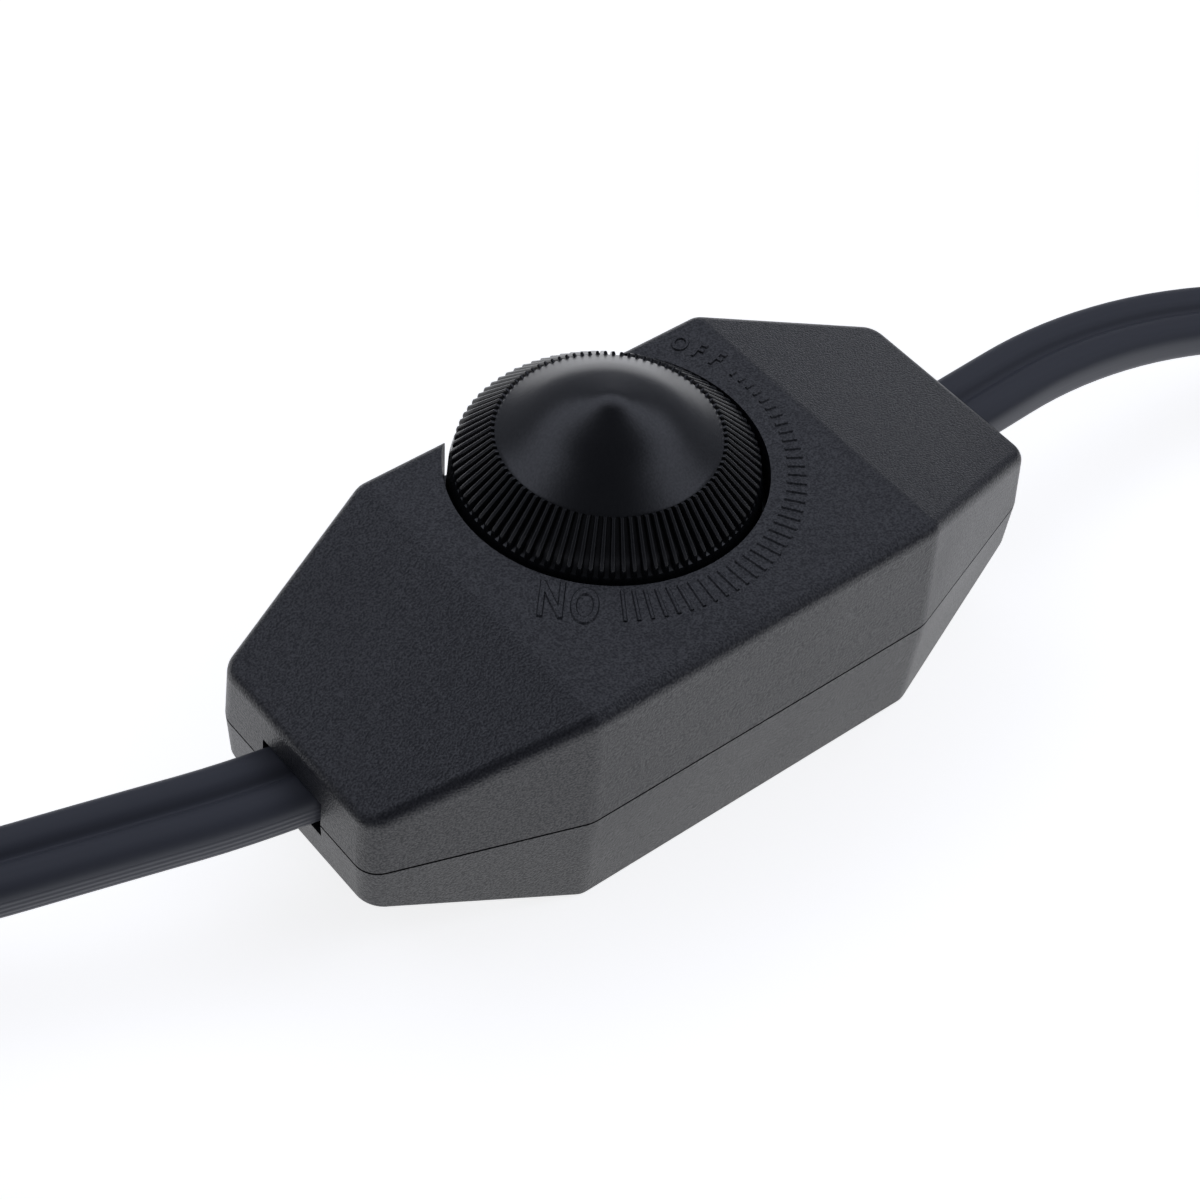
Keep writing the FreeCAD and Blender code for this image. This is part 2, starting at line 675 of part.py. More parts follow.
def make_potentiometer():
    """The rotary control under the well: what turns with the knob, and what stands still."""
    centre = ("0", "Sizes.knob_y")
    bar = cylinder(
        "shaft_bar",
        "Sizes.shaft_radius",
        f"({BORE_TOP} - Sizes.shaft_top_clearance - {TRACK_TOP})",
        (*centre, TRACK_TOP),
    )
    drive = cylinder(
        "shaft_drive",
        "Sizes.drive_radius",
        f"({TRACK_TOP} - {POT_BOTTOM} + Sizes.drive_length)",
        (*centre, f"{POT_BOTTOM} - Sizes.drive_length"),
    )
    flat = box(
        "shaft_flat_cut",
        ("Sizes.shaft_radius", "4 * Sizes.shaft_radius", "Sizes.height"),
        ("Sizes.shaft_flat", "Sizes.knob_y - 2 * Sizes.shaft_radius", WELL_FLOOR),
    )
    node(cut("shaft_cut", fuse("shaft_whole", [bar, drive]), [flat]), "pot_shaft")

    bore = "(Sizes.shaft_radius + Sizes.shaft_clearance)"
    rotor = tube("rotor_disc", "Sizes.rotor_radius", bore, "Sizes.rotor_thickness", (*centre, ROTOR_BOTTOM))
    node(rotor, "pot_rotor")

    plate = tube(
        "wiper_plate",
        "Sizes.track_outer",
        bore,
        "Sizes.wiper_thickness",
        (*centre, f"{ROTOR_BOTTOM} - Sizes.wiper_thickness"),
    )
    finger = box(
        "wiper_finger",
        (
            "Sizes.track_outer - Sizes.track_inner",
            "Sizes.wiper_width",
            f"({ROTOR_BOTTOM} - Sizes.wiper_thickness / 2 - {TRACK_TOP} - Sizes.shaft_clearance)",
        ),
        (
            "-Sizes.track_outer + Sizes.wiper_thickness",
            "Sizes.knob_y - Sizes.wiper_width / 2",
            f"{TRACK_TOP} + Sizes.shaft_clearance",
        ),
    )
    node(fuse("wiper_whole", [plate, finger]), "pot_wiper")

    cup = cylinder("case_cup", "Sizes.pot_radius", "Sizes.pot_height", (*centre, POT_BOTTOM))
    inside = cylinder(
        "case_inside",
        "Sizes.pot_radius - Sizes.pot_skin",
        "Sizes.pot_height - Sizes.pot_skin + 1",
        (*centre, f"{POT_BOTTOM} - 1"),
    )
    bearing = cylinder("case_bearing", bore, "2 * Sizes.pot_height", (*centre, POT_BOTTOM))
    node(cut("case_cut", cup, [inside, bearing]), "pot_case")

    wafer_hole = "(Sizes.drive_radius + Sizes.shaft_clearance)"
    wafer = tube(
        "wafer_disc",
        "Sizes.pot_radius - Sizes.pot_skin - Sizes.shaft_clearance",
        wafer_hole,
        "Sizes.wafer_thickness",
        (*centre, POT_BOTTOM),
    )
    node(wafer, "pot_wafer")

    track = cylinder("track_band", "Sizes.track_outer", "Sizes.track_thickness", (*centre, WAFER_TOP))
    track.setExpression("Angle", "Sizes.track_angle")
    track_hole = cylinder(
        "track_hole",
        "Sizes.track_inner",
        "3 * Sizes.track_thickness",
        (*centre, f"{WAFER_TOP} - Sizes.track_thickness"),
    )
    node(cut("track_cut", track, [track_hole]), "pot_track")

    lugs = [
        centred_box(
            f"lug_{index}",
            ("Sizes.lug_width", "Sizes.lug_thickness", f"({POT_BOTTOM} - {BOARD_TOP})"),
            (
                f"Sizes.lug_circle * sin({turn} * Sizes.lug_angle)",
                f"Sizes.knob_y - Sizes.lug_circle * cos({turn} * Sizes.lug_angle)",
                BOARD_TOP,
            ),
        )
        for index, turn in enumerate((-1, 0, 1), 1)
    ]
    node(group("lug_set", lugs), "pot_lugs")

    switch_height = f"({POT_BOTTOM} - {BOARD_TOP})"
    switch = cylinder("switch_cup", "Sizes.switch_radius", switch_height, (*centre, BOARD_TOP))
    socket = cylinder(
        "switch_socket",
        wafer_hole,
        "2 * Sizes.drive_length",
        (*centre, f"{POT_BOTTOM} - Sizes.drive_length - Sizes.pot_clearance"),
    )
    node(cut("switch_cut", switch, [socket]), "switch_case")


# Circuit board


def axial_part(name, radius, length, place):
    """A part that lies along the board on its round body, with a pin at each end down to the board."""
    x, y, z = place
    reach = "Sizes.pin_reach"
    body = cylinder(f"{name}_body", radius, length, place, X_AXIS)
    first_x = f"{x} - {reach}"
    last_x = f"{x} + {length} + {reach}"
    wire = cylinder(f"{name}_wire", "Sizes.pin_radius", f"{length} + 2 * {reach}", (first_x, y, z), X_AXIS)
    pins = [
        cylinder(f"{name}_pin_{index}", "Sizes.pin_radius", radius, (pin_x, y, BOARD_TOP))
        for index, pin_x in enumerate((first_x, last_x), 1)
    ]
    return fuse(f"{name}_whole", [body, wire, *pins])


def make_board():
    """Circuit board on the lower shell's standoffs, with the dimmer's circuit on it."""
    board_size = ("Sizes.board_length", "Sizes.board_width", "Sizes.board_thickness")
    node(centred_box("board", board_size, ("0", "0", BOARD_BOTTOM)), "circuit_board")
    left = "(-Sizes.board_length / 2 + Sizes.edge_inset)"
    right = "(Sizes.board_length / 2 - Sizes.edge_inset)"
    near = "(-Sizes.board_width / 2 + Sizes.edge_inset)"
    far = "(Sizes.board_width / 2 - Sizes.edge_inset)"

    sink_y = f"({far} - Sizes.sink_width)"
    sink_top = f"({BOARD_TOP} + Sizes.sink_thickness)"
    triac_top = f"({sink_top} + Sizes.triac_thickness)"
    rivet_x = f"({left} + Sizes.sink_length / 2)"
    rivet_y = f"({far} - Sizes.rivet_head_radius)"
    rivet_hole = "(Sizes.rivet_radius + Sizes.shaft_clearance)"
    sink_size = ("Sizes.sink_length", "Sizes.sink_width", "Sizes.sink_thickness")
    plate = box("sink_plate", sink_size, (left, sink_y, BOARD_TOP))
    plate_hole = cylinder("sink_hole", rivet_hole, "Sizes.height", (rivet_x, rivet_y, BOARD_BOTTOM))
    node(cut("sink_cut", plate, [plate_hole]), "heat_sink")

    triac_x = f"({rivet_x} - Sizes.triac_length / 2)"
    triac_y = f"({far} - Sizes.triac_width)"
    triac_size = ("Sizes.triac_length", "Sizes.triac_width", "Sizes.triac_thickness")
    package = box("triac_body", triac_size, (triac_x, triac_y, sink_top))
    leads = []
    lead_z = f"({sink_top} + Sizes.triac_thickness / 2)"
    lead_y = f"({sink_y} - Sizes.lead_reach)"
    gauge = "Sizes.lead_width"
    run = f"({triac_y} - {lead_y} + {gauge})"
    foot = f"({lead_z} - {BOARD_TOP} + {gauge} / 2)"
    for index, step in enumerate((-1, 0, 1), 1):
        lead_x = f"({rivet_x} + {step} * Sizes.lead_pitch - {gauge} / 2)"
        leads.append(box(f"triac_lead_{index}", (gauge, run, gauge), (lead_x, lead_y, lead_z)))
        leads.append(box(f"triac_foot_{index}", (gauge, gauge, foot), (lead_x, lead_y, BOARD_TOP)))
    triac_hole = cylinder("triac_hole", rivet_hole, "Sizes.height", (rivet_x, rivet_y, BOARD_BOTTOM))
    node(cut("triac_cut", fuse("triac_whole", [package, *leads]), [triac_hole]), "triac")

    rivet = (rivet_x, rivet_y)
    stem = cylinder("rivet_stem", "Sizes.rivet_radius", f"({triac_top} - {BOARD_TOP})", (*rivet, BOARD_TOP))
    head = cylinder("rivet_head", "Sizes.rivet_head_radius", "Sizes.rivet_head_height", (*rivet, triac_top))
    node(fuse("rivet_whole", [stem, head]), "heat_sink_rivet")

    filter_size = ("Sizes.filter_length", "Sizes.filter_width", "Sizes.filter_height")
    filter_x = f"({right} - Sizes.filter_length)"
    node(box("filter_box", filter_size, (filter_x, near, BOARD_TOP)), "filter_capacitor")
    film_size = ("Sizes.film_length", "Sizes.film_width", "Sizes.film_height")
    film_x = f"({right} - Sizes.film_length)"
    film_y = f"({far} - Sizes.film_width)"
    node(box("timing_box", film_size, (film_x, film_y, BOARD_TOP)), "timing_capacitor")
    next_y = f"{film_y} - Sizes.film_gap - Sizes.film_width"
    node(box("coupling_box", film_size, (film_x, next_y, BOARD_TOP)), "coupling_capacitor")

    choke_place = ("-Sizes.choke_x", "-Sizes.choke_y")
    flanges = [
        cylinder("choke_foot", "Sizes.choke_radius", "Sizes.choke_flange", (*choke_place, BOARD_TOP)),
        cylinder(
            "choke_cap",
            "Sizes.choke_radius",
            "Sizes.choke_flange",
            (*choke_place, f"{BOARD_TOP} + Sizes.choke_height - Sizes.choke_flange"),
        ),
    ]
    waist = cylinder("choke_stem", "Sizes.choke_waist", "Sizes.choke_height", (*choke_place, BOARD_TOP))
    node(fuse("choke_whole", [waist, *flanges]), "choke_core")
    winding = tube(
        "choke_coil",
        "Sizes.winding_radius",
        "(Sizes.choke_waist + Sizes.shaft_clearance)",
        "(Sizes.choke_height - 2 * Sizes.choke_flange)",
        (*choke_place, f"({BOARD_TOP} + Sizes.choke_flange)"),
    )
    node(winding, "choke_winding")

    resistor_x = f"({right} - Sizes.resistor_length - Sizes.pin_reach - Sizes.pin_radius)"
    resistor_y = f"({next_y} - Sizes.film_gap - Sizes.resistor_radius)"
    resistor_place = (resistor_x, resistor_y, f"{BOARD_TOP} + Sizes.resistor_radius")
    resistor = axial_part("resistor_part", "Sizes.resistor_radius", "Sizes.resistor_length", resistor_place)
    node(resistor, "resistor")
    diac_y = f"({resistor_y} - Sizes.resistor_radius - Sizes.film_gap - Sizes.diac_radius)"
    diac_place = (resistor_x, diac_y, f"{BOARD_TOP} + Sizes.diac_radius")
    diac = axial_part("diac_part", "Sizes.diac_radius", "Sizes.diac_length", diac_place)
    node(diac, "diac")


# Cords

# The routes are the middle of the cord: how far out it is, how far over, and how high.
# The first stretch of a cord is measured from the casing's end and from the slot's middle.
LINE_ROUTE = [
    (-9.0, -1.2, 0.0),
    (2.0, 0.45, 0.0),
    (14.0, 4.4, -0.7),
    (27.0, 9.2, -2.3),
    (39.0, 16.6, -4.5),
    (52.0, 22.0, -6.1),
    (65.0, 23.1, -6.5),
]
LOAD_ROUTE = [
    (-9.0, 0.0, 0.0),
    (3.0, 0.5, 0.0),
    (16.0, 1.4, -0.7),
    (30.0, -0.4, -2.5),
    (44.0, -6.2, -4.5),
    (57.0, -14.9, -5.9),
    (69.0, -21.0, -6.3),
    (81.0, -23.1, -6.5),
]
# The last stretch is measured from the hank's near bend and from its top, on which the cord lies.
LINE_END_ROUTE = [
    (-1.0, 23.1, 0.03),
    (12.0, 20.6, 1.1),
    (25.0, 14.6, 3.8),
    (37.6, 11.3, 5.9),
]
LOAD_END_ROUTE = [
    (4.0, -23.1, 0.08),
    (17.0, -22.8, 0.83),
    (33.0, -23.3, 0.83),
    (47.0, -23.1, 0.83),
]
ARC_SHARE = 0.45
STRAIGHT = 1e-6


def placed_route(route, sign, datum, level):
    """A route's points, from the datum outwards and from the level up."""
    start = value(datum)
    height = value(level)
    return [FreeCAD.Vector(sign * (start + out), over, height + high) for out, over, high in route]


def rounded_route(corners):
    """Joins a route's points by straight runs and tangent arcs, each as large as its runs allow."""
    edges = []
    radii = []
    start = corners[0]
    for before, corner, after in zip(corners, corners[1:], corners[2:]):
        back = before - corner
        onward = after - corner
        trim = ARC_SHARE * min(back.Length, onward.Length)
        turn = math.pi - back.getAngle(onward)
        arc_start = corner + back.normalize() * trim
        arc_end = corner + onward.normalize() * trim
        edges.append(Part.LineSegment(start, arc_start).toShape())
        radius = trim / math.tan(turn / 2)
        inward = (back + onward).normalize()
        middle = corner + inward * (radius / math.cos(turn / 2) - radius)
        edges.append(Part.Arc(arc_start, middle, arc_end).toShape())
        radii.append(radius)
        start = arc_end
    edges.append(Part.LineSegment(start, corners[-1]).toShape())
    return Part.Wire(edges), radii


def flat_section(route, width, thickness):
    """The flat cord's section across the start of a route, lying on its broad side."""
    start = route[0]
    ahead = (route[1] - start).normalize()
    across = UP.cross(ahead).normalize()
    over = ahead.cross(across)
    side = across * ((width - thickness) / 2)
    rim = over * (thickness / 2)
    nose = across * (width / 2)
    return Part.Wire(
        [
            Part.LineSegment(start - side - rim, start + side - rim).toShape(),
            Part.Arc(start + side - rim, start + nose, start + side + rim).toShape(),
            Part.LineSegment(start + side + rim, start - side + rim).toShape(),
            Part.Arc(start - side + rim, start - nose, start - side - rim).toShape(),
        ]
    )


def make_flat_cord(label, route):
    """A stretch of flat cord along its route, kept level across its breadth."""
    path, radii = rounded_route(route)
    section = flat_section(route, value("Sizes.cord_width"), value("Sizes.cord_thickness"))
    sweep = Part.BRepOffsetAPI.MakePipeShell(path)
    sweep.setBiNormalMode(UP)
    sweep.add(section, False, False)
    sweep.build()
    sweep.makeSolid()
    cord = doc.addObject("Part::Feature", f"{label}_sweep")
    cord.Shape = sweep.shape()
    expected = Part.Face(section).Area * path.Length
    print(label, "length", round(path.Length, 1), "radii", [round(radius, 1) for radius in radii])
    print(label, "volume over section times length", round(cord.Shape.Volume / expected, 4))
    node(cord, label)


def make_tails(label, cord_route, sign, row):
    """The two split cores of a cord, from the cord's inner end down to their row on the board."""
    start = cord_route[0]
    inward = (start - cord_route[1]).normalize()
    across = UP.cross(inward).normalize()
    middle = value("(Sizes.cord_width - Sizes.cord_thickness) / 2")
    end_x = sign * value("Sizes.board_length / 2 - Sizes.tail_inset")
    top = value(BOARD_TOP)
    cores = []
    for index, flank in enumerate(SIDES, 1):
        first = start + across * (flank * middle)
        end_y = value(row) + math.copysign(flank, flank * across.y) * value("Sizes.tail_pitch / 2")
        route = [
            first,
            first + inward * value("Sizes.tail_run"),
            FreeCAD.Vector(end_x, end_y, top + value("Sizes.tail_rise")),
            FreeCAD.Vector(end_x, end_y, top),
        ]
        path, _ = rounded_route(route)
        ring = Part.Wire([Part.Circle(first, inward, value("Sizes.core_radius")).toShape()])
        core = doc.addObject("Part::Feature", f"{label}_core_{index}")
        core.Shape = path.makePipeShell([ring], True, False)
        cores.append(core)
    node(group(f"{label}_set", cores), label)


def racetrack(name, radius, height, place):
    """A long loop's outline filled to a block: two round ends and the runs between them."""
    near, far, z = place
    low = f"min({near}; {far})"
    ends = [
        cylinder(f"{name}_end_{index}", radius, height, (x, "0", z))
        for index, x in enumerate((near, far), 1)
    ]
    runs = box(f"{name}_runs", ("Sizes.hank_run", f"2 * {radius}", height), (low, f"-{radius}", z))
    return fuse(name, [*ends, runs])


def make_hank(word, sign, distance, top, tie_inset):
    """A cord's spare length, folded to a long flat loop, and the strap that ties it."""
    near = f"{sign}{distance}"
    far = f"{sign}({distance} + Sizes.hank_run)"
    bottom = "Sizes.tie_thickness"
    height = f"({top} - {bottom})"
    block = racetrack(f"{word}_loop", HANK_OUTER, height, (near, far, bottom))
    middle = racetrack(f"{word}_loop_hole", HANK_INNER, f"({height} + 2)", (near, far, f"{bottom} - 1"))
    node(cut(f"{word}_loop_cut", block, [middle]), f"{word}_hank")

    waist = f"{sign}({distance} + Sizes.hank_run - {tie_inset})"
    strap_breadth = f"(2 * {HANK_OUTER} + 2 * Sizes.tie_thickness)"
    strap_height = f"({height} + 2 * Sizes.tie_thickness)"
    strap = centred_box(
        f"{word}_strap", ("Sizes.tie_width", strap_breadth, strap_height), (waist, "0", "0")
    )
    inside = centred_box(
        f"{word}_strap_inside",
        ("(2 * Sizes.tie_width)", f"(2 * {HANK_OUTER})", height),
        (waist, "0", bottom),
    )
    node(cut(f"{word}_strap_cut", strap, [inside]), f"{word}_tie")


def make_plug():
    """A flat two-pin plug that lies on the folded cord."""
    middle = f"({LINE_HANK_TOP} + Sizes.tie_thickness + Sizes.plug_thickness / 2)"
    front = f"(-{LINE_HANK} - Sizes.plug_gap - Sizes.plug_length)"
    body = doc.addObject("PartDesign::Body", "plug")
    bind(body, x=front, y="Sizes.plug_y", z=middle)
    outline = sketch_on(body, "plug_outline", "YZ_Plane")
    half_width = "(Sizes.plug_width / 2)"
    half_thick = "(Sizes.plug_thickness / 2)"
    add_polygon(
        outline,
        [
            (half_width, half_thick),
            (f"-{half_width}", half_thick),
            (f"-{half_width}", f"-{half_thick}"),
            (half_width, f"-{half_thick}"),
        ],
    )
    pad(body, outline, "Sizes.plug_length", "Sizes.plug_taper")

    def off_the_front(shape, edge):
        return edge.CenterOfMass.x - shape.BoundBox.XMin > SHORTEST_EDGE

    round_edges(body, "plug_rounds", "Sizes.plug_round", off_the_front)
    node(body, "plug_body")

    blades = []
    for index, side in enumerate(SIDES, 1):
        blade_y = f"(Sizes.plug_y + {side} * Sizes.blade_pitch / 2)"
        blade = centred_box(
            f"blade_{index}_blank",
            ("Sizes.blade_length", "Sizes.blade_thickness", "Sizes.blade_width"),
            (f"({front} - Sizes.blade_length / 2)", blade_y, f"{middle} - Sizes.blade_width / 2"),
        )
        hole = cylinder(
            f"blade_{index}_hole",
            "Sizes.blade_hole_radius",
            "(3 * Sizes.blade_thickness)",
            (
                f"{front} - Sizes.blade_length + Sizes.blade_hole_inset",
                f"{blade_y} - 1.5 * Sizes.blade_thickness",
                middle,
            ),
            Y_AXIS,
        )
        blades.append(cut(f"blade_{index}", blade, [hole]))
    node(group("blade_set", blades), "plug_blades")


def make_strands(cord_route):
    """The two tinned ends that the lamp's cord is wired up by."""
    end = cord_route[-1]
    ahead = (end - cord_route[-2]).normalize()
    across = UP.cross(ahead).normalize()
    strands = []
    for index, side in enumerate(SIDES, 1):
        strand = doc.addObject("Part::Cylinder", f"strand_{index}")
        bind(strand, Radius="Sizes.strand_radius", Height="Sizes.strand_length")
        offset = side * value("(Sizes.cord_width - Sizes.cord_thickness) / 2")
        strand.Placement = FreeCAD.Placement(end + across * offset, FreeCAD.Rotation(UP, ahead))
        strands.append(strand)
    node(group("strand_set", strands), "load_strands")


make_upper_shell()
make_lower_shell()
make_housing_screws()
make_knob()
make_potentiometer()
make_board()
line_route = placed_route(LINE_ROUTE, -1, HALF_LENGTH, CORD_HEIGHT)
line_end_route = placed_route(LINE_END_ROUTE, -1, LINE_HANK, f"{LINE_HANK_TOP} + Sizes.cord_thickness / 2")
make_flat_cord("line_cord", line_route)
make_tails("line_tails", line_route, -1, "Sizes.line_tail_y")
make_hank("line", "-", LINE_HANK, LINE_HANK_TOP, "Sizes.line_tie_inset")
make_flat_cord("line_cord_end", line_end_route)
make_plug()
load_route = placed_route(LOAD_ROUTE, 1, HALF_LENGTH, CORD_HEIGHT)
load_end_route = placed_route(LOAD_END_ROUTE, 1, LOAD_HANK, f"{LOAD_HANK_TOP} + Sizes.cord_thickness / 2")
make_flat_cord("load_cord", load_route)
make_tails("load_tails", load_route, 1, "Sizes.load_tail_y")
make_hank("load", "", LOAD_HANK, LOAD_HANK_TOP, "Sizes.load_tie_inset")
make_flat_cord("load_cord_end", load_end_route)
make_strands(load_end_route)

doc.recompute()

for item in doc.Objects:
    if "Invalid" in item.State or "Error" in item.State:
        raise ValueError(f"{item.Name} failed: {item.State}")
for piece in nodes:
    if piece.Shape.isNull() or not piece.Shape.isValid():
        raise ValueError(f"{piece.Label} has no sound shape")

os.makedirs("parts", exist_ok=True)
for piece in nodes:
    piece.Shape.exportStep(f"parts/{piece.Label}.step")
    print(piece.Label, len(piece.Shape.Solids), round(piece.Shape.Volume, 1))
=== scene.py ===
"""Looks of a rotary cord dimmer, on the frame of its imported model. Metres, +X along the casing, +Z up."""

import sys
import logging
import math
from abc import ABC, abstractmethod
from dataclasses import dataclass, field
from enum import Enum
from typing import ClassVar, Iterable, Sequence

import bmesh
import bpy
from mathutils import Matrix, Vector


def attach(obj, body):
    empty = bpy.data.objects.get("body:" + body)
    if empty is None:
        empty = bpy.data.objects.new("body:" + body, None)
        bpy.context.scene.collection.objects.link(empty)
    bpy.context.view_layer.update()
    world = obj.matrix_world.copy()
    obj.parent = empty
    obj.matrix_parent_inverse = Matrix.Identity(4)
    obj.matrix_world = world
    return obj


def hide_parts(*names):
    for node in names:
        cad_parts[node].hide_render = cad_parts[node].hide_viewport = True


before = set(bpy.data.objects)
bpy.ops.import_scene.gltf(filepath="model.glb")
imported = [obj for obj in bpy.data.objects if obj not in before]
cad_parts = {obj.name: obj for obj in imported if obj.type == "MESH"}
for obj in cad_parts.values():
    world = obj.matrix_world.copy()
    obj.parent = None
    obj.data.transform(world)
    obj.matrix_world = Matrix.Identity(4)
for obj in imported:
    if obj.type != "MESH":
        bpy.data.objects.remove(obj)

LOG = logging.getLogger("dimmer")
MM = 0.001
WHITE = "#ffffff"
Colour = tuple[float, float, float, float]
Point = tuple[float, float, float]
Flat = tuple[float, float]
Range = tuple[float, float]


class Body(str, Enum):
    """The bodies that pieces ride on."""

    HOUSING = "housing"
    KNOB = "knob"


class Bend(float, Enum):
    """How sharp a fold between two faces may be before it stays a hard edge, in degrees."""

    SOFT = 50.0
    CRISP = 33.0


class Lie(float, Enum):
    """How a flat cord lies across its breadth, as a turn about its own line in degrees."""

    FLAT = 0.0
    ON_EDGE = 90.0


class Ease(str, Enum):
    """How a mapped value runs from one end of its range to the other."""

    STRAIGHT = "LINEAR"
    SOFT = "SMOOTHSTEP"


# Materials


def hex_to_linear(code: str) -> Colour:
    """Turns an sRGB colour into the linear one that shaders use.

    Args:
        code: The colour as six hex digits after a hash sign.

    Returns:
        Red, green, blue and alpha in linear light.
    """
    channels = [int(code[start : start + 2], 16) / 255.0 for start in (1, 3, 5)]
    linear = [c / 12.92 if c <= 0.04045 else ((c + 0.055) / 1.055) ** 2.4 for c in channels]
    return (linear[0], linear[1], linear[2], 1.0)


def add_node(
    tree: bpy.types.NodeTree,
    kind: str,
    inputs: dict[str | int, object] | None = None,
    **settings: object,
) -> bpy.types.Node:
    """Adds one shader node.

    Args:
        tree: The node tree that gets it.
        kind: The node's type name.
        inputs: Sockets by name or number; an output socket is linked, anything else is set as a constant.
        settings: Properties of the node itself.

    Returns:
        The new node.
    """
    made = tree.nodes.new(kind)
    for name, setting in settings.items():
        setattr(made, name, setting)
    for name, given in (inputs or {}).items():
        if isinstance(given, bpy.types.NodeSocket):
            tree.links.new(given, made.inputs[name])
        else:
            made.inputs[name].default_value = given
    return made


def new_tree(name: str) -> tuple[bpy.types.Material, bpy.types.NodeTree]:
    """Starts an empty material.

    Args:
        name: The material's name.

    Returns:
        The material and its node tree.
    """
    material = bpy.data.materials.new(name)
    material.use_nodes = True
    material.node_tree.nodes.clear()
    return material, material.node_tree


def end_tree(tree: bpy.types.NodeTree, inputs: dict[str | int, object]) -> None:
    """Ends a material with its surface shader.

    Args:
        tree: The node tree.
        inputs: The surface shader's sockets, as add_node takes them.
    """
    shader = add_node(tree, "ShaderNodeBsdfPrincipled", inputs)
    add_node(tree, "ShaderNodeOutputMaterial", {"Surface": shader.outputs["BSDF"]})


def remap(
    tree: bpy.types.NodeTree,
    given: bpy.types.NodeSocket,
    source: Range,
    target: Range,
    ease: Ease = Ease.STRAIGHT,
) -> bpy.types.NodeSocket:
    """Maps a value from one range to another.

    Args:
        tree: The node tree.
        given: The value's socket.
        source: Where the value's range starts and ends.
        target: The results there.
        ease: How the result runs in between.

    Returns:
        The result's socket.
    """
    ends = {"From Min": source[0], "From Max": source[1], "To Min": target[0], "To Max": target[1]}
    mapped = add_node(tree, "ShaderNodeMapRange", {"Value": given, **ends}, interpolation_type=ease.value)
    return mapped.outputs["Result"]


def calculate(tree: bpy.types.NodeTree, operation: str, *given: object) -> bpy.types.NodeSocket:
    """Works out one value from others.

    Args:
        tree: The node tree.
        operation: The name of the math node's operation.
        given: Its sockets or constants, in order.

    Returns:
        The result's socket.
    """
    return add_node(tree, "ShaderNodeMath", dict(enumerate(given)), operation=operation).outputs[0]


def relief(
    tree: bpy.types.NodeTree, height: bpy.types.NodeSocket, strength: float, depth: float
) -> bpy.types.NodeSocket:
    """Makes small relief from a height.

    Args:
        tree: The node tree.
        height: The height's socket, about 0 to 1.
        strength: How much of the relief shows.
        depth: How deep it is.

    Returns:
        The socket of the bent normal.
    """
    bump = add_node(tree, "ShaderNodeBump", {"Height": height, "Strength": strength, "Distance": depth})
    return bump.outputs["Normal"]


@dataclass(frozen=True)
class Finish(ABC):
    """A real material with its surface process, as a shader."""

    name: str
    colour: str
    roughness: float

    @abstractmethod
    def material(self) -> bpy.types.Material:
        """Builds the material.

        Returns:
            The finished material.
        """


@dataclass(frozen=True)
class Moulded(Finish):
    """Thermoplastic moulded in a spark-eroded tool: a dull skin with pits that sparkle at a low angle."""

    ior: float = 1.54
    grain: float = 0.3 * MM
    depth: float = 0.02 * MM
    strength: float = 0.5
    mottle: float = 0.05
    sparkle: float = 0.1
    usual_shine: float = 0.5
    pit_range: Range = (0.34, 0.66)
    mottle_scale: float = 90.0
    mottle_range: Range = (0.1, 0.9)

    def material(self) -> bpy.types.Material:
        """Builds the grain from a fine noise whose tops shine, and slow changes of gloss from a coarse one.

        Returns:
            The finished material.
        """
        material, tree = new_tree(self.name)
        place = add_node(tree, "ShaderNodeTexCoord").outputs["Object"]
        pits = add_node(
            tree,
            "ShaderNodeTexNoise",
            {"Vector": place, "Scale": 1.0 / self.grain, "Detail": 1.0, "Roughness": 0.4},
        ).outputs["Fac"]
        slow = add_node(
            tree, "ShaderNodeTexNoise", {"Vector": place, "Scale": self.mottle_scale, "Detail": 2.0}
        ).outputs["Fac"]
        shines = (self.usual_shine - self.sparkle, self.usual_shine + self.sparkle)
        glosses = (self.roughness - self.mottle, self.roughness + self.mottle)
        end_tree(
            tree,
            {
                "Base Color": hex_to_linear(self.colour),
                "Roughness": remap(tree, slow, self.mottle_range, glosses),
                "IOR": self.ior,
                "Specular IOR Level": remap(tree, pits, self.pit_range, shines),
                "Normal": relief(tree, pits, self.strength, self.depth),
            },
        )
        return material


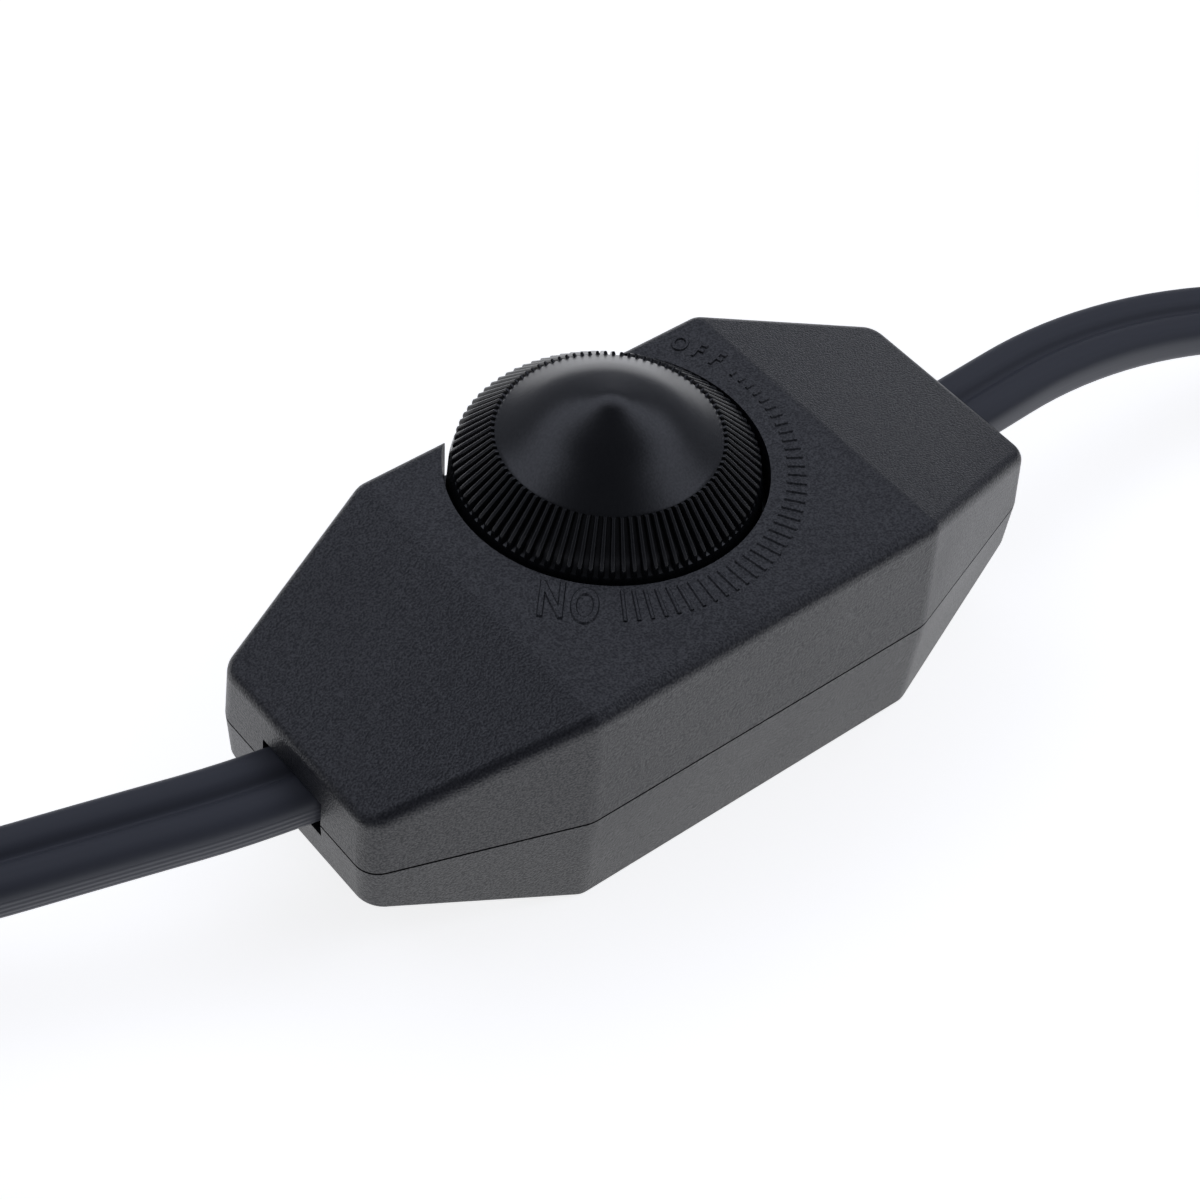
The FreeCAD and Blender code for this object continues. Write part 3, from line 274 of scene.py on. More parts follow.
@dataclass(frozen=True)
class Vinyl(Finish):
    """Plasticised vinyl drawn through a die: dull black with fine lines along it, ribbed over one core."""

    ior: float = 1.53
    sheen: float = 0.25
    rib_pitch: float = 0.5 * MM
    rib_depth: float = 0.03 * MM
    rib_strength: float = 0.7
    rib_from: float = 0.0
    rib_to: float = 1.0
    line_scale: Point = (18.0, 2600.0, 1.0)
    line_share: float = 0.35
    line_range: Range = (0.25, 0.75)
    gloss_change: Range = (-0.05, 0.07)

    def material(self) -> bpy.types.Material:
        """Builds ribs from the place round the section, and draw lines from a noise stretched along the cord.

        Returns:
            The finished material.
        """
        material, tree = new_tree(self.name)
        place = add_node(tree, "ShaderNodeUVMap", uv_map=FlatCord.UV_NAME).outputs["UV"]
        around = add_node(tree, "ShaderNodeSeparateXYZ", {"Vector": place}).outputs["Y"]
        wave = calculate(tree, "SINE", calculate(tree, "MULTIPLY", around, math.tau / self.rib_pitch))
        after = calculate(tree, "GREATER_THAN", around, self.rib_from)
        before = calculate(tree, "LESS_THAN", around, self.rib_to)
        ribs = calculate(tree, "MULTIPLY", wave, calculate(tree, "MULTIPLY", after, before))
        drawn = add_node(tree, "ShaderNodeVectorMath", {0: place, 1: self.line_scale}, operation="MULTIPLY")
        lines = add_node(
            tree, "ShaderNodeTexNoise", {"Vector": drawn.outputs[0], "Scale": 1.0, "Detail": 2.0}
        ).outputs["Fac"]
        height = calculate(tree, "MULTIPLY_ADD", lines, self.line_share, ribs)
        glosses = (self.roughness + self.gloss_change[0], self.roughness + self.gloss_change[1])
        end_tree(
            tree,
            {
                "Base Color": hex_to_linear(self.colour),
                "Roughness": remap(tree, lines, self.line_range, glosses),
                "IOR": self.ior,
                "Specular IOR Level": self.sheen,
                "Normal": relief(tree, height, self.rib_strength, self.rib_depth),
            },
        )
        return material


@dataclass(frozen=True)
class Metal(Finish):
    """Rolled, turned or plated metal: a clear reflection drawn out by fine tool lines."""

    line: float = 0.15 * MM
    stretch: Point = (0.08, 1.0, 1.0)
    depth: float = 0.01 * MM
    strength: float = 0.25
    gloss_change: Range = (-0.08, 0.12)

    def material(self) -> bpy.types.Material:
        """Builds the tool lines from a noise stretched along one axis.

        Returns:
            The finished material.
        """
        material, tree = new_tree(self.name)
        place = add_node(tree, "ShaderNodeTexCoord").outputs["Object"]
        drawn = add_node(tree, "ShaderNodeVectorMath", {0: place, 1: self.stretch}, operation="MULTIPLY")
        lines = add_node(
            tree, "ShaderNodeTexNoise", {"Vector": drawn.outputs[0], "Scale": 0.5 / self.line, "Detail": 3.0}
        ).outputs["Fac"]
        glosses = (self.roughness + self.gloss_change[0], self.roughness + self.gloss_change[1])
        end_tree(
            tree,
            {
                "Base Color": hex_to_linear(self.colour),
                "Metallic": 1.0,
                "Roughness": remap(tree, lines, (0.0, 1.0), glosses),
                "Normal": relief(tree, lines, self.strength, self.depth),
            },
        )
        return material


@dataclass(frozen=True)
class Lacquer(Finish):
    """A dipped or pressed resin coat: an even colour with a soft ripple in its gloss."""

    second: str = "#000000"
    share: float = 0.12
    patch: float = 1.2 * MM
    ior: float = 1.55
    depth: float = 0.03 * MM
    strength: float = 0.2

    def material(self) -> bpy.types.Material:
        """Builds the ripple and the faint second colour from one noise.

        Returns:
            The finished material.
        """
        material, tree = new_tree(self.name)
        place = add_node(tree, "ShaderNodeTexCoord").outputs["Object"]
        patches = add_node(
            tree, "ShaderNodeTexNoise", {"Vector": place, "Scale": 0.5 / self.patch, "Detail": 4.0}
        ).outputs["Fac"]
        amount = calculate(tree, "MULTIPLY", patches, self.share)
        tone = add_node(
            tree,
            "ShaderNodeMix",
            {0: amount, 6: hex_to_linear(self.colour), 7: hex_to_linear(self.second)},
            data_type="RGBA",
        )
        end_tree(
            tree,
            {
                "Base Color": tone.outputs[2],
                "Roughness": self.roughness,
                "IOR": self.ior,
                "Normal": relief(tree, patches, self.strength, self.depth),
            },
        )
        return material


@dataclass(frozen=True)
class Woven(Finish):
    """Narrow woven nylon tape: dull, with the small steps of its threads."""

    thread: float = 0.5 * MM
    depth: float = 0.12 * MM
    strength: float = 0.6
    fuzz: float = 0.15

    def material(self) -> bpy.types.Material:
        """Builds the threads from two crossed waves.

        Returns:
            The finished material.
        """
        material, tree = new_tree(self.name)
        place = add_node(tree, "ShaderNodeTexCoord").outputs["Object"]
        waves = [
            add_node(
                tree,
                "ShaderNodeTexWave",
                {"Vector": place, "Scale": 0.05 / self.thread, "Distortion": 0.4, "Detail": 1.0},
                wave_type="BANDS",
                bands_direction=direction,
            ).outputs["Fac"]
            for direction in ("X", "Y")
        ]
        threads = calculate(tree, "MAXIMUM", *waves)
        end_tree(
            tree,
            {
                "Base Color": hex_to_linear(self.colour),
                "Roughness": self.roughness,
                "Sheen Weight": self.fuzz,
                "Normal": relief(tree, threads, self.strength, self.depth),
            },
        )
        return material


# Meshes


def smooth_by_angle(piece: bpy.types.Object, bend: Bend) -> None:
    """Shades a mesh smooth across its gentle folds and sharp across the rest.

    Args:
        piece: The mesh object.
        bend: The largest fold that stays smooth.
    """
    mesh = piece.data
    mesh.polygons.foreach_set("use_smooth", [True] * len(mesh.polygons))
    mesh.set_sharp_from_angle(angle=math.radians(bend.value))


def paint(piece: bpy.types.Object, material: bpy.types.Material) -> None:
    """Gives a piece one material.

    Args:
        piece: The object.
        material: The material for all of it.
    """
    piece.data.materials.clear()
    piece.data.materials.append(material)


def add_piece(name: str, mesh: bpy.types.Mesh) -> bpy.types.Object:
    """Puts a mesh into the scene.

    Args:
        name: The object's name.
        mesh: Its mesh.

    Returns:
        The new object.
    """
    piece = bpy.data.objects.new(name, mesh)
    bpy.context.scene.collection.objects.link(piece)
    return piece


def between(start: Flat, stop: Flat, share: float) -> Flat:
    """A place on the straight way from one place to another.

    Args:
        start: Where the way starts.
        stop: Where it ends.
        share: How much of it is done.

    Returns:
        The place.
    """
    return (start[0] + (stop[0] - start[0]) * share, start[1] + (stop[1] - start[1]) * share)


def mesh_from_curve(curve: bpy.types.Curve) -> bpy.types.Mesh:
    """Turns a curve or a letter into a mesh, and removes the curve.

    Args:
        curve: The curve.

    Returns:
        The mesh.
    """
    holder = bpy.data.objects.new(curve.name, curve)
    mesh = bpy.data.meshes.new_from_object(holder)
    bpy.data.objects.remove(holder)
    bpy.data.curves.remove(curve)
    return mesh


def skin_faces(rings: int, count: int) -> list[tuple[int, ...]]:
    """Joins rings of points, each to the next, by four-sided faces.

    Args:
        rings: How many rings there are.
        count: How many points each ring has.

    Returns:
        The faces, as numbers of their points.
    """
    faces: list[tuple[int, ...]] = []
    for start in range(0, (rings - 1) * count, count):
        for place in range(count):
            following = start + (place + 1) % count
            faces.append((start + place, following, following + count, start + place + count))
    return faces


class SubAssembly(ABC):
    """A group of pieces that belong together."""

    @abstractmethod
    def build(self) -> list[str]:
        """Makes the pieces.

        Returns:
            The names of the pieces.
        """

    @abstractmethod
    def dress(self) -> None:
        """Gives the pieces their finishes."""


@dataclass
class CarriedNodes(SubAssembly):
    """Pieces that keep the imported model's own shape."""

    finishes: dict[str, Finish]
    bend: Bend = Bend.CRISP

    def build(self) -> list[str]:
        """Smooths the carried meshes.

        Returns:
            The nodes' names.
        """
        for name in self.finishes:
            smooth_by_angle(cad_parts[name], self.bend)
        return list(self.finishes)

    def dress(self) -> None:
        """Paints each node, with one material for each finish."""
        made: dict[Finish, bpy.types.Material] = {}
        for name, finish in self.finishes.items():
            if finish not in made:
                made[finish] = finish.material()
            paint(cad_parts[name], made[finish])


@dataclass(frozen=True)
class Word:
    """A word on the dial, with its angles in degrees and its breadth as a share of the font's own.

    Each letter faces outwards, unless facing gives one way for all of them.
    """

    letters: str
    angle: float
    step: float
    radius: float
    height: float
    breadth: float
    facing: float | None = None


@dataclass
class DialMarks(SubAssembly):
    """Raised words and ticks on the casing's top, round the knob."""

    finish: Finish
    centre: Point = (0.0, 5.5 * MM, 22.0 * MM)
    rise: float = 0.13 * MM
    sunk: float = 0.05 * MM
    letter_draft: float = 0.035
    letter_swell: float = 0.012
    middle: float = 15.7 * MM
    tick_count: int = 37
    tick_from: float = 8.1
    tick_to: float = -123.8
    tick_width: float = 0.46 * MM
    tick_top: float = 0.4
    short_tick: float = 0.6 * MM
    long_tick: float = 3.15 * MM
    off_word: Word = Word("OFF", 22.0, 6.4, 16.2 * MM, 2.0 * MM, 0.72)
    on_word: Word = Word("ON", -139.75, 9.7, 15.85 * MM, 4.0 * MM, 0.56, facing=-133.0)
    pieces: list[bpy.types.Object] = field(default_factory=list)

    def build(self) -> list[str]:
        """Makes the two words and the ticks between them.

        Returns:
            The names of the pieces.
        """
        self.pieces = [
            self._word("dial_off", self.off_word),
            self._word("dial_on", self.on_word),
            self._ticks(),
        ]
        for piece in self.pieces:
            smooth_by_angle(piece, Bend.CRISP)
            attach(piece, Body.HOUSING.value)
        return [piece.name for piece in self.pieces]

    def dress(self) -> None:
        """Gives the marks the casing's own finish."""
        material = self.finish.material()
        for piece in self.pieces:
            paint(piece, material)

    def _on_dial(self, angle: float, radius: float) -> Matrix:
        """A place on the dial, with its Y axis pointing outwards.

        Args:
            angle: The angle in degrees from +X.
            radius: The distance from the dial's centre.

        Returns:
            The place as a matrix.
        """
        turn = math.radians(angle)
        where = Vector(self.centre) + Vector((math.cos(turn), math.sin(turn), 0.0)) * radius
        return Matrix.Translation(where) @ Matrix.Rotation(turn - math.pi / 2, 4, "Z")

    def _word(self, name: str, word: Word) -> bpy.types.Object:
        """Makes a word with its letters round the circle, clockwise, and with sloping sides.

        Args:
            name: The piece's name.
            word: The letters, their place and size.

        Returns:
            The piece.
        """
        joined = bmesh.new()
        for index, letter in enumerate(word.letters):
            curve = bpy.data.curves.new(f"{name}_{index}", "FONT")
            curve.body = letter
            curve.align_x = "CENTER"
            curve.bevel_depth = self.letter_draft
            curve.bevel_resolution = 0
            curve.resolution_u = 6
            curve.offset = self.letter_swell
            mesh = mesh_from_curve(curve)
            low = min(vertex.co.y for vertex in mesh.vertices)
            high = max(vertex.co.y for vertex in mesh.vertices)
            scale = word.height / (high - low)
            angle = word.angle - (index - (len(word.letters) - 1) / 2) * word.step
            facing = angle if word.facing is None else word.facing
            turn = Matrix.Rotation(math.radians(facing - angle), 4, "Z")
            place = self._on_dial(angle, word.radius) @ turn
            size = Matrix.Diagonal((scale * word.breadth, scale, self.rise / self.letter_draft, 1.0))
            mesh.transform(place @ size @ Matrix.Translation((0.0, -(low + high) / 2, 0.0)))
            joined.from_mesh(mesh)
            bpy.data.meshes.remove(mesh)
        merged = bpy.data.meshes.new(name)
        joined.to_mesh(merged)
        joined.free()
        return add_piece(name, merged)

    def _ticks(self) -> bpy.types.Object:
        """Makes the ticks, which grow from OFF round to ON.

        Returns:
            The piece.
        """
        joined = bmesh.new()
        for index in range(self.tick_count):
            share = index / (self.tick_count - 1)
            length = self.short_tick + (self.long_tick - self.short_tick) * share
            size = Matrix.Diagonal((self.tick_width, length, self.rise + self.sunk, 1.0))
            lift = Matrix.Translation((0.0, 0.0, (self.rise - self.sunk) / 2))
            place = self._on_dial(self.tick_from + (self.tick_to - self.tick_from) * share, self.middle)
            for corner in bmesh.ops.create_cube(joined, size=1.0)["verts"]:
                if corner.co.z > 0.0:
                    corner.co.x *= self.tick_top
                corner.co = place @ lift @ size @ corner.co
        mesh = bpy.data.meshes.new("dial_ticks")
        joined.to_mesh(mesh)
        joined.free()
        return add_piece("dial_ticks", mesh)


@dataclass
class Knob(SubAssembly):
    """Knob with a plain skirt, fins round its rim and flank, and a smooth blunt hat above."""

    finish: Finish
    axis: Point = (0.0, 5.5 * MM, 0.0)
    fin_count: int = 90
    crest: float = 12.75 * MM
    foot: float = 13.2 * MM
    fin_depth: float = 0.75 * MM
    skirt_bottom: float = 17.5 * MM
    rim: float = 22.75 * MM
    brim: float = 25.55 * MM
    brim_radius: float = 9.3 * MM
    flank_top: float = 9.65 * MM
    hat_slopes: tuple[float, ...] = (0.0, 16.0, 17.0, 19.0, 25.0, 31.0, 33.0, 32.0)
    hollow: float = 10.6 * MM
    hub: float = 4.6 * MM
    bore: float = 3.05 * MM
    bore_top: float = 24.3 * MM
    fin_profile: Sequence[tuple[float, float]] = (
        (0.02, 0.0),
        (0.10, 0.84),
        (0.15, 0.93),
        (0.22, 0.98),
        (0.32, 1.0),
        (0.42, 0.98),
        (0.49, 0.93),
        (0.54, 0.84),
        (0.62, 0.0),
        (0.82, 0.0),
    )
    flank_steps: Sequence[float] = (0.33, 0.66, 1.0)
    fin_rise: float = 0.08 * MM
    groove_drop: float = 0.5 * MM
    groove_inset: float = 0.15 * MM
    brim_lip: float = 0.05 * MM
    neck_bottom: float = 1.6 * MM
    neck_top: float = 0.8 * MM
    roof: float = 0.2 * MM
    soft: float = 0.18 * MM
    hat_rings: int = 48
    weld: float = 0.002 * MM
    piece: bpy.types.Object | None = None

    def build(self) -> list[str]:
        """Turns the outline round the axis, with the fins between its crest and its root.

        Returns:
            The piece's name.
        """
        columns = [
            (math.tau * (fin + share) / self.fin_count, height)
            for fin in range(self.fin_count)
            for share, height in self.fin_profile
        ]
        rings = self._rings()
        vertices: list[Point] = []
        for root, top in rings:
            for angle, height in columns:
                radius, level = between(root, top, height)
                x = self.axis[0] + radius * math.cos(angle)
                y = self.axis[1] + radius * math.sin(angle)
                vertices.append((x, y, level))
        mesh = bpy.data.meshes.new("knob_turned")
        mesh.from_pydata(vertices, [], skin_faces(len(rings), len(columns)))
        tidy = bmesh.new()
        tidy.from_mesh(mesh)
        bmesh.ops.remove_doubles(tidy, verts=tidy.verts, dist=self.weld)
        bmesh.ops.recalc_face_normals(tidy, faces=tidy.faces)
        tidy.to_mesh(mesh)
        tidy.free()
        self.piece = add_piece("knob_turned", mesh)
        smooth_by_angle(self.piece, Bend.CRISP)
        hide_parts("knob")
        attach(self.piece, Body.KNOB.value)
        return [self.piece.name]

    def dress(self) -> None:
        """Gives the knob its satin finish."""
        paint(self.piece, self.finish.material())

    def _rings(self) -> list[tuple[Flat, Flat]]:
        """The outline from the bore's top, under the knob and up to the apex.

        Returns:
            For each ring, radius and height at a fin's root and at its crest.
        """
        roof = self.rim - self.roof
        touch = 0.4 * self.soft
        plain = [
            (0.0, self.bore_top),
            (self.bore, self.bore_top),
            (self.bore, self.skirt_bottom),
            (self.hub, self.skirt_bottom),
            (self.hub, roof),
            (self.hollow, roof),
            (self.hollow, self.skirt_bottom),
            (self.foot - self.soft, self.skirt_bottom),
            (self.foot, self.skirt_bottom + self.soft),
            (self.foot - self.soft, self.rim - self.neck_bottom),
            (self.crest - touch, self.rim - self.neck_top),
        ]
        root = self.crest - self.fin_depth
        groove_foot = (root - self.soft, self.rim)
        groove_head = (self.brim_radius - self.groove_inset, self.brim - self.groove_drop)
        fin_foot = (self.crest, self.rim)
        fin_head = (self.flank_top, self.brim + self.fin_rise)
        lip = (self.brim_radius + self.brim_lip, self.brim - self.brim_lip)
        rings = [(place, place) for place in plain]
        rings.append(((root, self.rim - 2 * self.soft), (self.crest, self.rim - self.soft)))
        rings.append((groove_foot, (self.crest - touch, self.rim + touch)))
        for step in self.flank_steps:
            rings.append((between(groove_foot, groove_head, step), between(fin_foot, fin_head, step)))
        rings += [(place, place) for place in (lip, *self._hat())]
        return rings

    def _hat(self) -> list[Flat]:
        """The hat's outline: a blunt point that steepens into a round shoulder above the brim.

        Returns:
            Radius and height from the brim to the apex.
        """
        reach = len(self.hat_slopes) - 1
        step = self.brim_radius / self.hat_rings
        outline = [(self.brim_radius, self.brim)]
        for index in range(self.hat_rings, 0, -1):
            place = (index - 0.5) / self.hat_rings * reach
            knot = min(int(place), reach - 1)
            before, after = self.hat_slopes[knot : knot + 2]
            slope = math.radians(before + (after - before) * (place - knot))
            outline.append(((index - 1) * step, outline[-1][1] + step * math.tan(slope)))
        return outline


@dataclass
class FlatCord(SubAssembly):
    """Flat two-core cord from the casing to its hank, round the hank and on to its end."""

    name: str
    finish: Finish
    route: Sequence[Point]
    end_route: Sequence[Point]
    way: int
    side: int
    hank_start: float
    turns: Sequence[Flat]
    exit: Point
    far_end: str
    replaced: Sequence[str]
    on_it: Sequence[str]
    flat_points: int
    width: float = 7.1 * MM
    thickness: float = 3.55 * MM
    web: float = 2.75 * MM
    fullness: float = 0.66
    section_steps: int = 28
    groove_share: float = 0.3
    groove_depth: float = 0.12 * MM
    run: float = 50.0 * MM
    run_shares: Sequence[float] = (0.0, 0.35, 0.7)
    entry: float = 6.0 * MM
    bend_steps: int = 9
    moves: Sequence[Range] = ((0.6, 0.95), (0.3, 0.6), (0.0, 0.3))
    lift: float = 7.2 * MM
    climb: float = 22.0 * MM
    climb_steps: Sequence[tuple[float, float]] = ((1.0, 0.1), (0.5, 0.5), (0.0, 1.0))
    climb_move: Range = (0.3, 1.0)
    spline_order: int = 3
    spline_steps: int = 7
    spacing: float = 0.05 * MM
    piece: bpy.types.Object | None = None

    UV_NAME: ClassVar[str] = "along_and_round"

    def build(self) -> list[str]:
        """Draws the section along the cord's line.

        Returns:
            The piece's name.
        """
        controls = self._controls()
        line = self._read_line([place for place, _ in controls])
        lies = self._lies([lie for _, lie in controls], len(line))
        outline = self._section()
        count = len(outline)
        faces = skin_faces(len(line), count)
        faces.append(tuple(reversed(range(count))))
        faces.append(tuple(range((len(line) - 1) * count, len(line) * count)))
        mesh = bpy.data.meshes.new(self.name)
        mesh.from_pydata(self._vertices(line, lies, outline), [], faces)
        self._map(mesh, line, outline)
        self.piece = add_piece(self.name, mesh)
        smooth_by_angle(self.piece, Bend.SOFT)
        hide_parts(*self.replaced)
        length = sum((after - before).length for before, after in zip(line, line[1:]))
        LOG.info("%s is %.3f m long", self.name, length)
        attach(self.piece, Body.HOUSING.value)
        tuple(self.exit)
        [tuple(place) for place in line]
        [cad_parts[name] for name in self.on_it]
        return [self.name]

    def dress(self) -> None:
        """Gives the cord its vinyl jacket."""
        paint(self.piece, self.finish.material())

    def _vertices(
        self, line: Sequence[Vector], lies: Sequence[float], outline: Sequence[Flat]
    ) -> list[Vector]:
        """Sets the section across the line at each of its points.

        Args:
            line: The cord's middle line.
            lies: The section's turn about it at each point, in degrees.
            outline: The section.

        Returns:
            The points of all sections, one after another.
        """
        vertices: list[Vector] = []
        for index, middle in enumerate(line):
            ahead = (line[min(index + 1, len(line) - 1)] - line[max(index - 1, 0)]).normalized()
            level = Vector((0.0, 0.0, 1.0)).cross(ahead).normalized()
            over = ahead.cross(level)
            turn = math.radians(lies[index])
            across = level * math.cos(turn) + over * math.sin(turn)
            up = over * math.cos(turn) - level * math.sin(turn)
            vertices += [middle + across * a + up * b for a, b in outline]
        return vertices

    def _hank_place(self, along: float, over: float, height: float) -> Point:
        """A place in the hank.

        Args:
            along: How far it is past the near bend's centre.
            over: How far it is over to the cord's own side.
            height: How high it is.

        Returns:
            The point.
        """
        return (self.way * (self.hank_start + along), self.side * over, height)

    def _controls(self) -> list[tuple[Point, Lie]]:
        """The control points of the whole line, and how the cord lies at each.

        Returns:
            Points with their lie.
        """
        controls = [
            (place, Lie.FLAT if index <= self.flat_points else Lie.ON_EDGE)
            for index, place in enumerate(self.route[:-1])
        ]
        last = len(self.turns) - 1
        for number, (radius, height) in enumerate(self.turns):
            turn = (radius, height)
            begin = self.entry if number == 0 else 0.0
            out = [begin + (self.run - begin) * share for share in self.run_shares]
            back = [self.run * share for share in reversed(self.run_shares[1:])]
            spots = [self._hank_place(along, radius, height) for along in out]
            spots += self._bend(self.run, 1, turn, turn, (0.0, 1.0))
            if number < last:
                spots += [self._hank_place(along, -radius, height) for along in back]
                move = self.moves[number % len(self.moves)]
                spots += self._bend(0.0, -1, turn, self.turns[number + 1], move)
            else:
                spots.append(self._hank_place(back[0], -radius, height))
                spots += self._climb_out(radius, height)
            controls += [(spot, Lie.ON_EDGE) for spot in spots]
        controls += [(place, Lie.FLAT) for place in self.end_route]
        return controls

    def _climb_out(self, radius: float, height: float) -> list[Point]:
        """The last turn's way up from the hank and over to the route of the cord's end.

        Args:
            radius: The last turn's radius.
            height: Its height.

        Returns:
            The points on the way.
        """
        spots = [
            self._hank_place(self.climb * share, -radius, height + self.lift * done)
            for share, done in self.climb_steps
        ]
        _, over, level = self.end_route[0]
        top = (radius, height + self.lift)
        return spots + self._bend(0.0, -1, top, (abs(over), level), self.climb_move)[1:-1]

    def _bend(self, centre: float, outward: int, start: Flat, stop: Flat, window: Range) -> list[Point]:
        """Half a turn round one end of the hank.

        Args:
            centre: The bend's centre along the hank.
            outward: 1 at the far end and -1 at the near end.
            start: The turn's radius and height before the bend.
            stop: Its radius and height after it.
            window: The shares of the bend between which it moves from one to the other.

        Returns:
            The points round the bend.
        """
        spots = []
        for step in range(self.bend_steps):
            share = step / (self.bend_steps - 1)
            move = min(1.0, max(0.0, (share - window[0]) / (window[1] - window[0])))
            reach, rise = between(start, stop, move)
            angle = math.pi * share
            along = centre + outward * reach * math.sin(angle)
            spots.append(self._hank_place(along, reach * math.cos(angle) * outward, rise))
        return spots

    def _read_line(self, controls: Sequence[Point]) -> list[Vector]:
        """Reads the points of a smooth spline through the control points.

        Args:
            controls: The control points.

        Returns:
            The points along the spline.
        """
        curve = bpy.data.curves.new(f"{self.name}_line", "CURVE")
        curve.dimensions = "3D"
        spline = curve.splines.new("NURBS")
        spline.points.add(len(controls) - 1)
        for point, place in zip(spline.points, controls):
            point.co = (*place, 1.0)
        spline.order_u = self.spline_order
        spline.use_endpoint_u = True
        spline.resolution_u = self.spline_steps
        mesh = mesh_from_curve(curve)
        places = [vertex.co.copy() for vertex in mesh.vertices]
        bpy.data.meshes.remove(mesh)
        line = [places[0]]
        for place in places[1:]:
            if (place - line[-1]).length > self.spacing:
                line.append(place)
        return line

    def _lies(self, keys: Sequence[Lie], count: int) -> list[float]:
        """Spreads the lie at the control points over all points of the line.

        Args:
            keys: The lie at each control point.
            count: How many points the line has.

        Returns:
            The turn about the line at each point, in degrees.
        """
        turns = [key.value for key in keys]
        spread = []
        for index in range(count):
            place = index / (count - 1) * (len(turns) - 1)
            before = min(int(place), len(turns) - 2)
            share = place - before
            ease = share * share * (3.0 - 2.0 * share)
            spread.append(turns[before] + (turns[before + 1] - turns[before]) * ease)
        return spread

    def _section(self) -> list[Flat]:
        """The cord's section: two flattened cores joined by a web, with a groove on both faces.

        Returns:
            Points round the section.
        """
        radius = self.thickness / 2
        middle = (self.width - self.thickness) / 2
        first = math.pi - math.asin((self.web / self.thickness) ** (1.0 / self.fullness))
        right = []
        for step in range(self.section_steps + 1):
            angle = -first + 2 * first * step / self.section_steps
            out, up = [
                math.copysign(abs(part) ** self.fullness, part) for part in (math.cos(angle), math.sin(angle))
            ]
            right.append((middle + radius * out, radius * up))
        lip = self.groove_share * right[-1][0]
        bottom = self.web / 2 - self.groove_depth
        over = [(lip, bottom), (-lip, bottom)]
        left = [(-a, -b) for a, b in right]
        under = [(-a, -b) for a, b in over]
        return right + over + left + under

    def _map(self, mesh: bpy.types.Mesh, line: Sequence[Vector], outline: Sequence[Flat]) -> None:
        """Gives the jacket a map in metres: along the cord and round its section.

        Args:
            mesh: The cord's mesh.
            line: Its middle line.
            outline: Its section.
        """
        along = [0.0]
        for before, after in zip(line, line[1:]):
            along.append(along[-1] + (after - before).length)
        around = [0.0]
        for before, after in zip(outline, outline[1:]):
            around.append(around[-1] + math.dist(before, after))
        count = len(outline)
        layer = mesh.uv_layers.new(name=self.UV_NAME)
        for loop in mesh.loops:
            ring, place = divmod(loop.vertex_index, count)
            layer.data[loop.index].uv = (along[ring], around[place])


